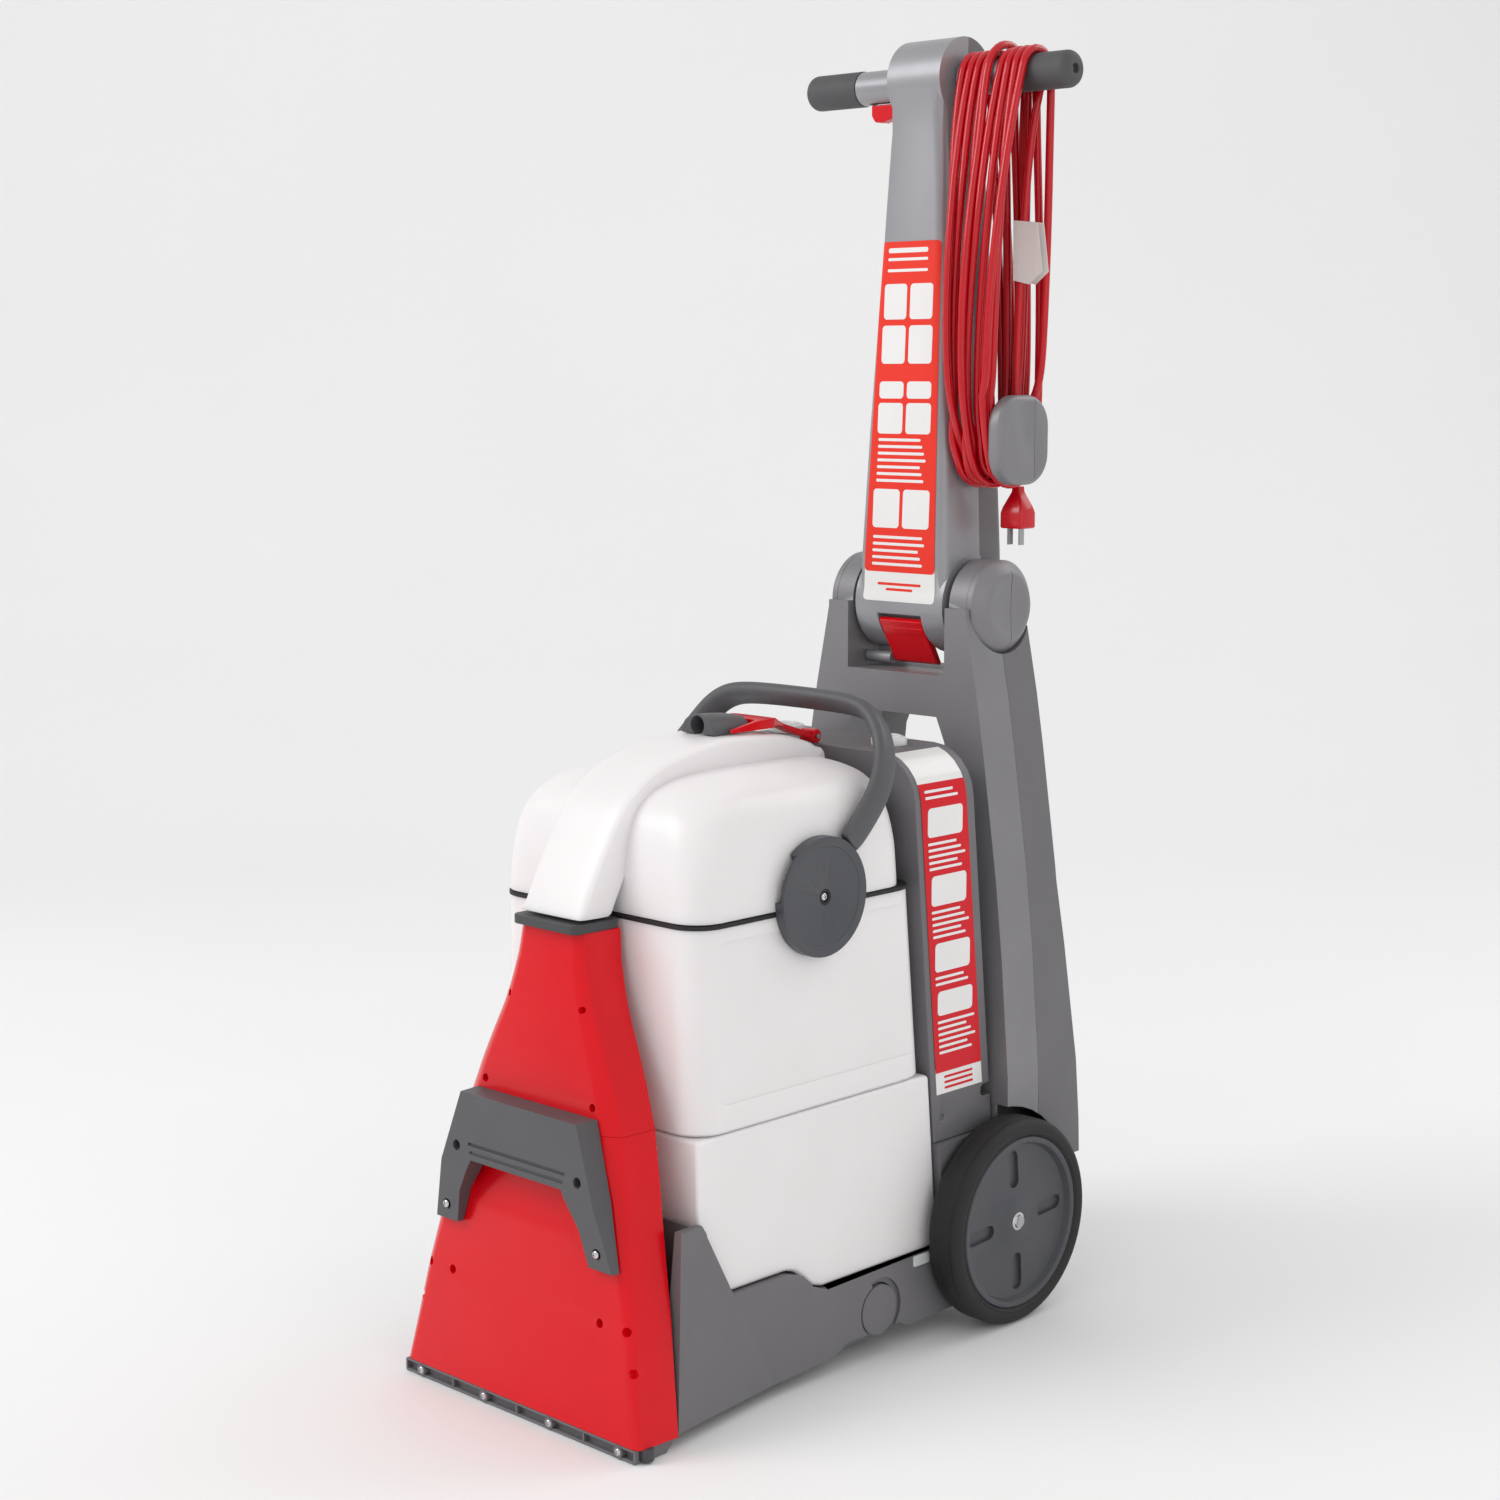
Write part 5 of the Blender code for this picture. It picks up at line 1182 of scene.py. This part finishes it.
# the CAD nodes that wear each finish
FINISH = {
    "grey": ("chassis rear_housing frame_rear brush_deck pivot_disc_left pivot_disc_right handle_rear "
             "cord_inlet"),
    "red": "hood_lower hood_upper lid_lever trigger release_latch power_switch",
    "collar": "hood_collar",
    "dark": "front_grip suction_nozzle drain_cap carry_handle",
    "brass": "spray_nozzle",
    "steel": "vacuum_motor hinge_pin axle brush_motor motor_pulley t_bar",
    "black": "vacuum_fan_case water_pump drive_belt tank_gasket strain_relief",
    "cap": "port_cap_left port_cap_right",
    "frame_grey": "frame_front boss_cap_left boss_cap_right",
    "chrome": "push_nut_left push_nut_right cam_screw_left cam_screw_right",
    "wheel": "hub_left hub_right cam_disc_left cam_disc_right",
    "tyre": "tyre_left tyre_right",
    "bristle": "brush_roll",
    "milk": "clean_tank recovery_tank tank_lid",
    "silver": "handle_front bar_collar_left bar_collar_right",
    "grip": "grip_left grip_right",
    "cord": "supply_lead cord_hank plug_strand cord_plug",
}


def build_machine():
    for finish, names in FINISH.items():
        for name in names.split():
            dress(NODES[name], finish)
    cord, route = build_cord()
    plug, pins = build_plug()
    tag = build_tag(route)
    build_relief()
    build_hood()
    build_front_grip()
    build_nozzle()
    build_tanks()
    build_lid()
    build_lid_top()
    build_base()
    column = build_column()
    build_frame()
    build_wheels()
    handle = build_handle()
    build_handle_label(handle)
    build_column_label(column)


# --- stage ------------------------------------------------------------------------------------------

WORLD_LIGHT = 0.72
AIM = Vector((0, 0, 0.55))      # the lights point at the middle of the machine
LIGHTS = (("key", (-1.6, -2.4, 2.6), 1.8, 44), ("fill", (2.6, -0.6, 1.5), 2.0, 7),
          ("rim", (0.8, 2.4, 2.4), 1.6, 14))
CAMERA_AT = (1.558, -1.621, 0.850)
CAMERA_PITCH = 8.195            # degrees below level
CAMERA_LENS = 62.16


def build_stage():
    """A pale floor that curves up into a backdrop, three soft lights and the camera."""
    bm = bmesh.new()
    profile = [(-6.0, 0.0), (2.2, 0.0)] + [(2.2 + 1.2 * math.sin(math.radians(a)),
                                            1.2 - 1.2 * math.cos(math.radians(a)))
                                           for a in range(10, 91, 10)] + [(3.4, 6.0)]
    right = Vector((math.cos(AZIMUTH), math.sin(AZIMUTH), 0))
    ahead = Vector((-math.sin(AZIMUTH), math.cos(AZIMUTH), 0))
    rows = [[bm.verts.new(right * side + ahead * y + Vector((0, 0, z))) for y, z in profile]
            for side in (-7.0, 7.0)]
    for a, b, c, d in zip(rows[0], rows[0][1:], rows[1][1:], rows[1]):
        bm.faces.new((a, d, c, b))
    mesh = bpy.data.meshes.new("floor")
    bm.to_mesh(mesh)
    bm.free()
    floor = bpy.data.objects.new("floor", mesh)
    bpy.context.scene.collection.objects.link(floor)
    mesh.shade_smooth()
    paper = blank("pale_paper")
    place = add(paper, "ShaderNodeTexCoord").outputs["Object"]
    cloud = add(paper, "ShaderNodeTexNoise", {"Vector": place, "Scale": 1.2, "Detail": 2.0})
    mix = add(paper, "ShaderNodeMix", {0: cloud.outputs["Fac"], 6: tone("#F3F3F3"), 7: tone("#F8F8F8")},
              data_type="RGBA")
    shader_of(paper, {"Base Color": mix.outputs[2], "Roughness": 0.85})
    mesh.materials.append(paper)

    world = bpy.data.worlds.new("studio")
    world.use_nodes = True
    world.node_tree.nodes["Background"].inputs["Color"].default_value = (1, 1, 1, 1)
    world.node_tree.nodes["Background"].inputs["Strength"].default_value = WORLD_LIGHT
    bpy.context.scene.world = world
    for name, spot, size, power in LIGHTS:
        light = bpy.data.lights.new(name, "AREA")
        light.size = size
        light.energy = power
        obj = bpy.data.objects.new(name, light)
        obj.location = spot
        obj.rotation_euler = (AIM - Vector(spot)).to_track_quat("-Z", "Y").to_euler()
        bpy.context.scene.collection.objects.link(obj)

    bpy.context.scene.view_settings.view_transform = "Standard"
    camera = bpy.data.cameras.new("camera")
    camera.lens = CAMERA_LENS
    camera.sensor_width = 36.0
    obj = bpy.data.objects.new("camera", camera)
    obj.location = CAMERA_AT
    obj.rotation_euler = (math.radians(90 - CAMERA_PITCH), 0, AZIMUTH)
    bpy.context.scene.collection.objects.link(obj)
    bpy.context.scene.camera = obj


def main():
    build_machine()
    build_stage()


main()
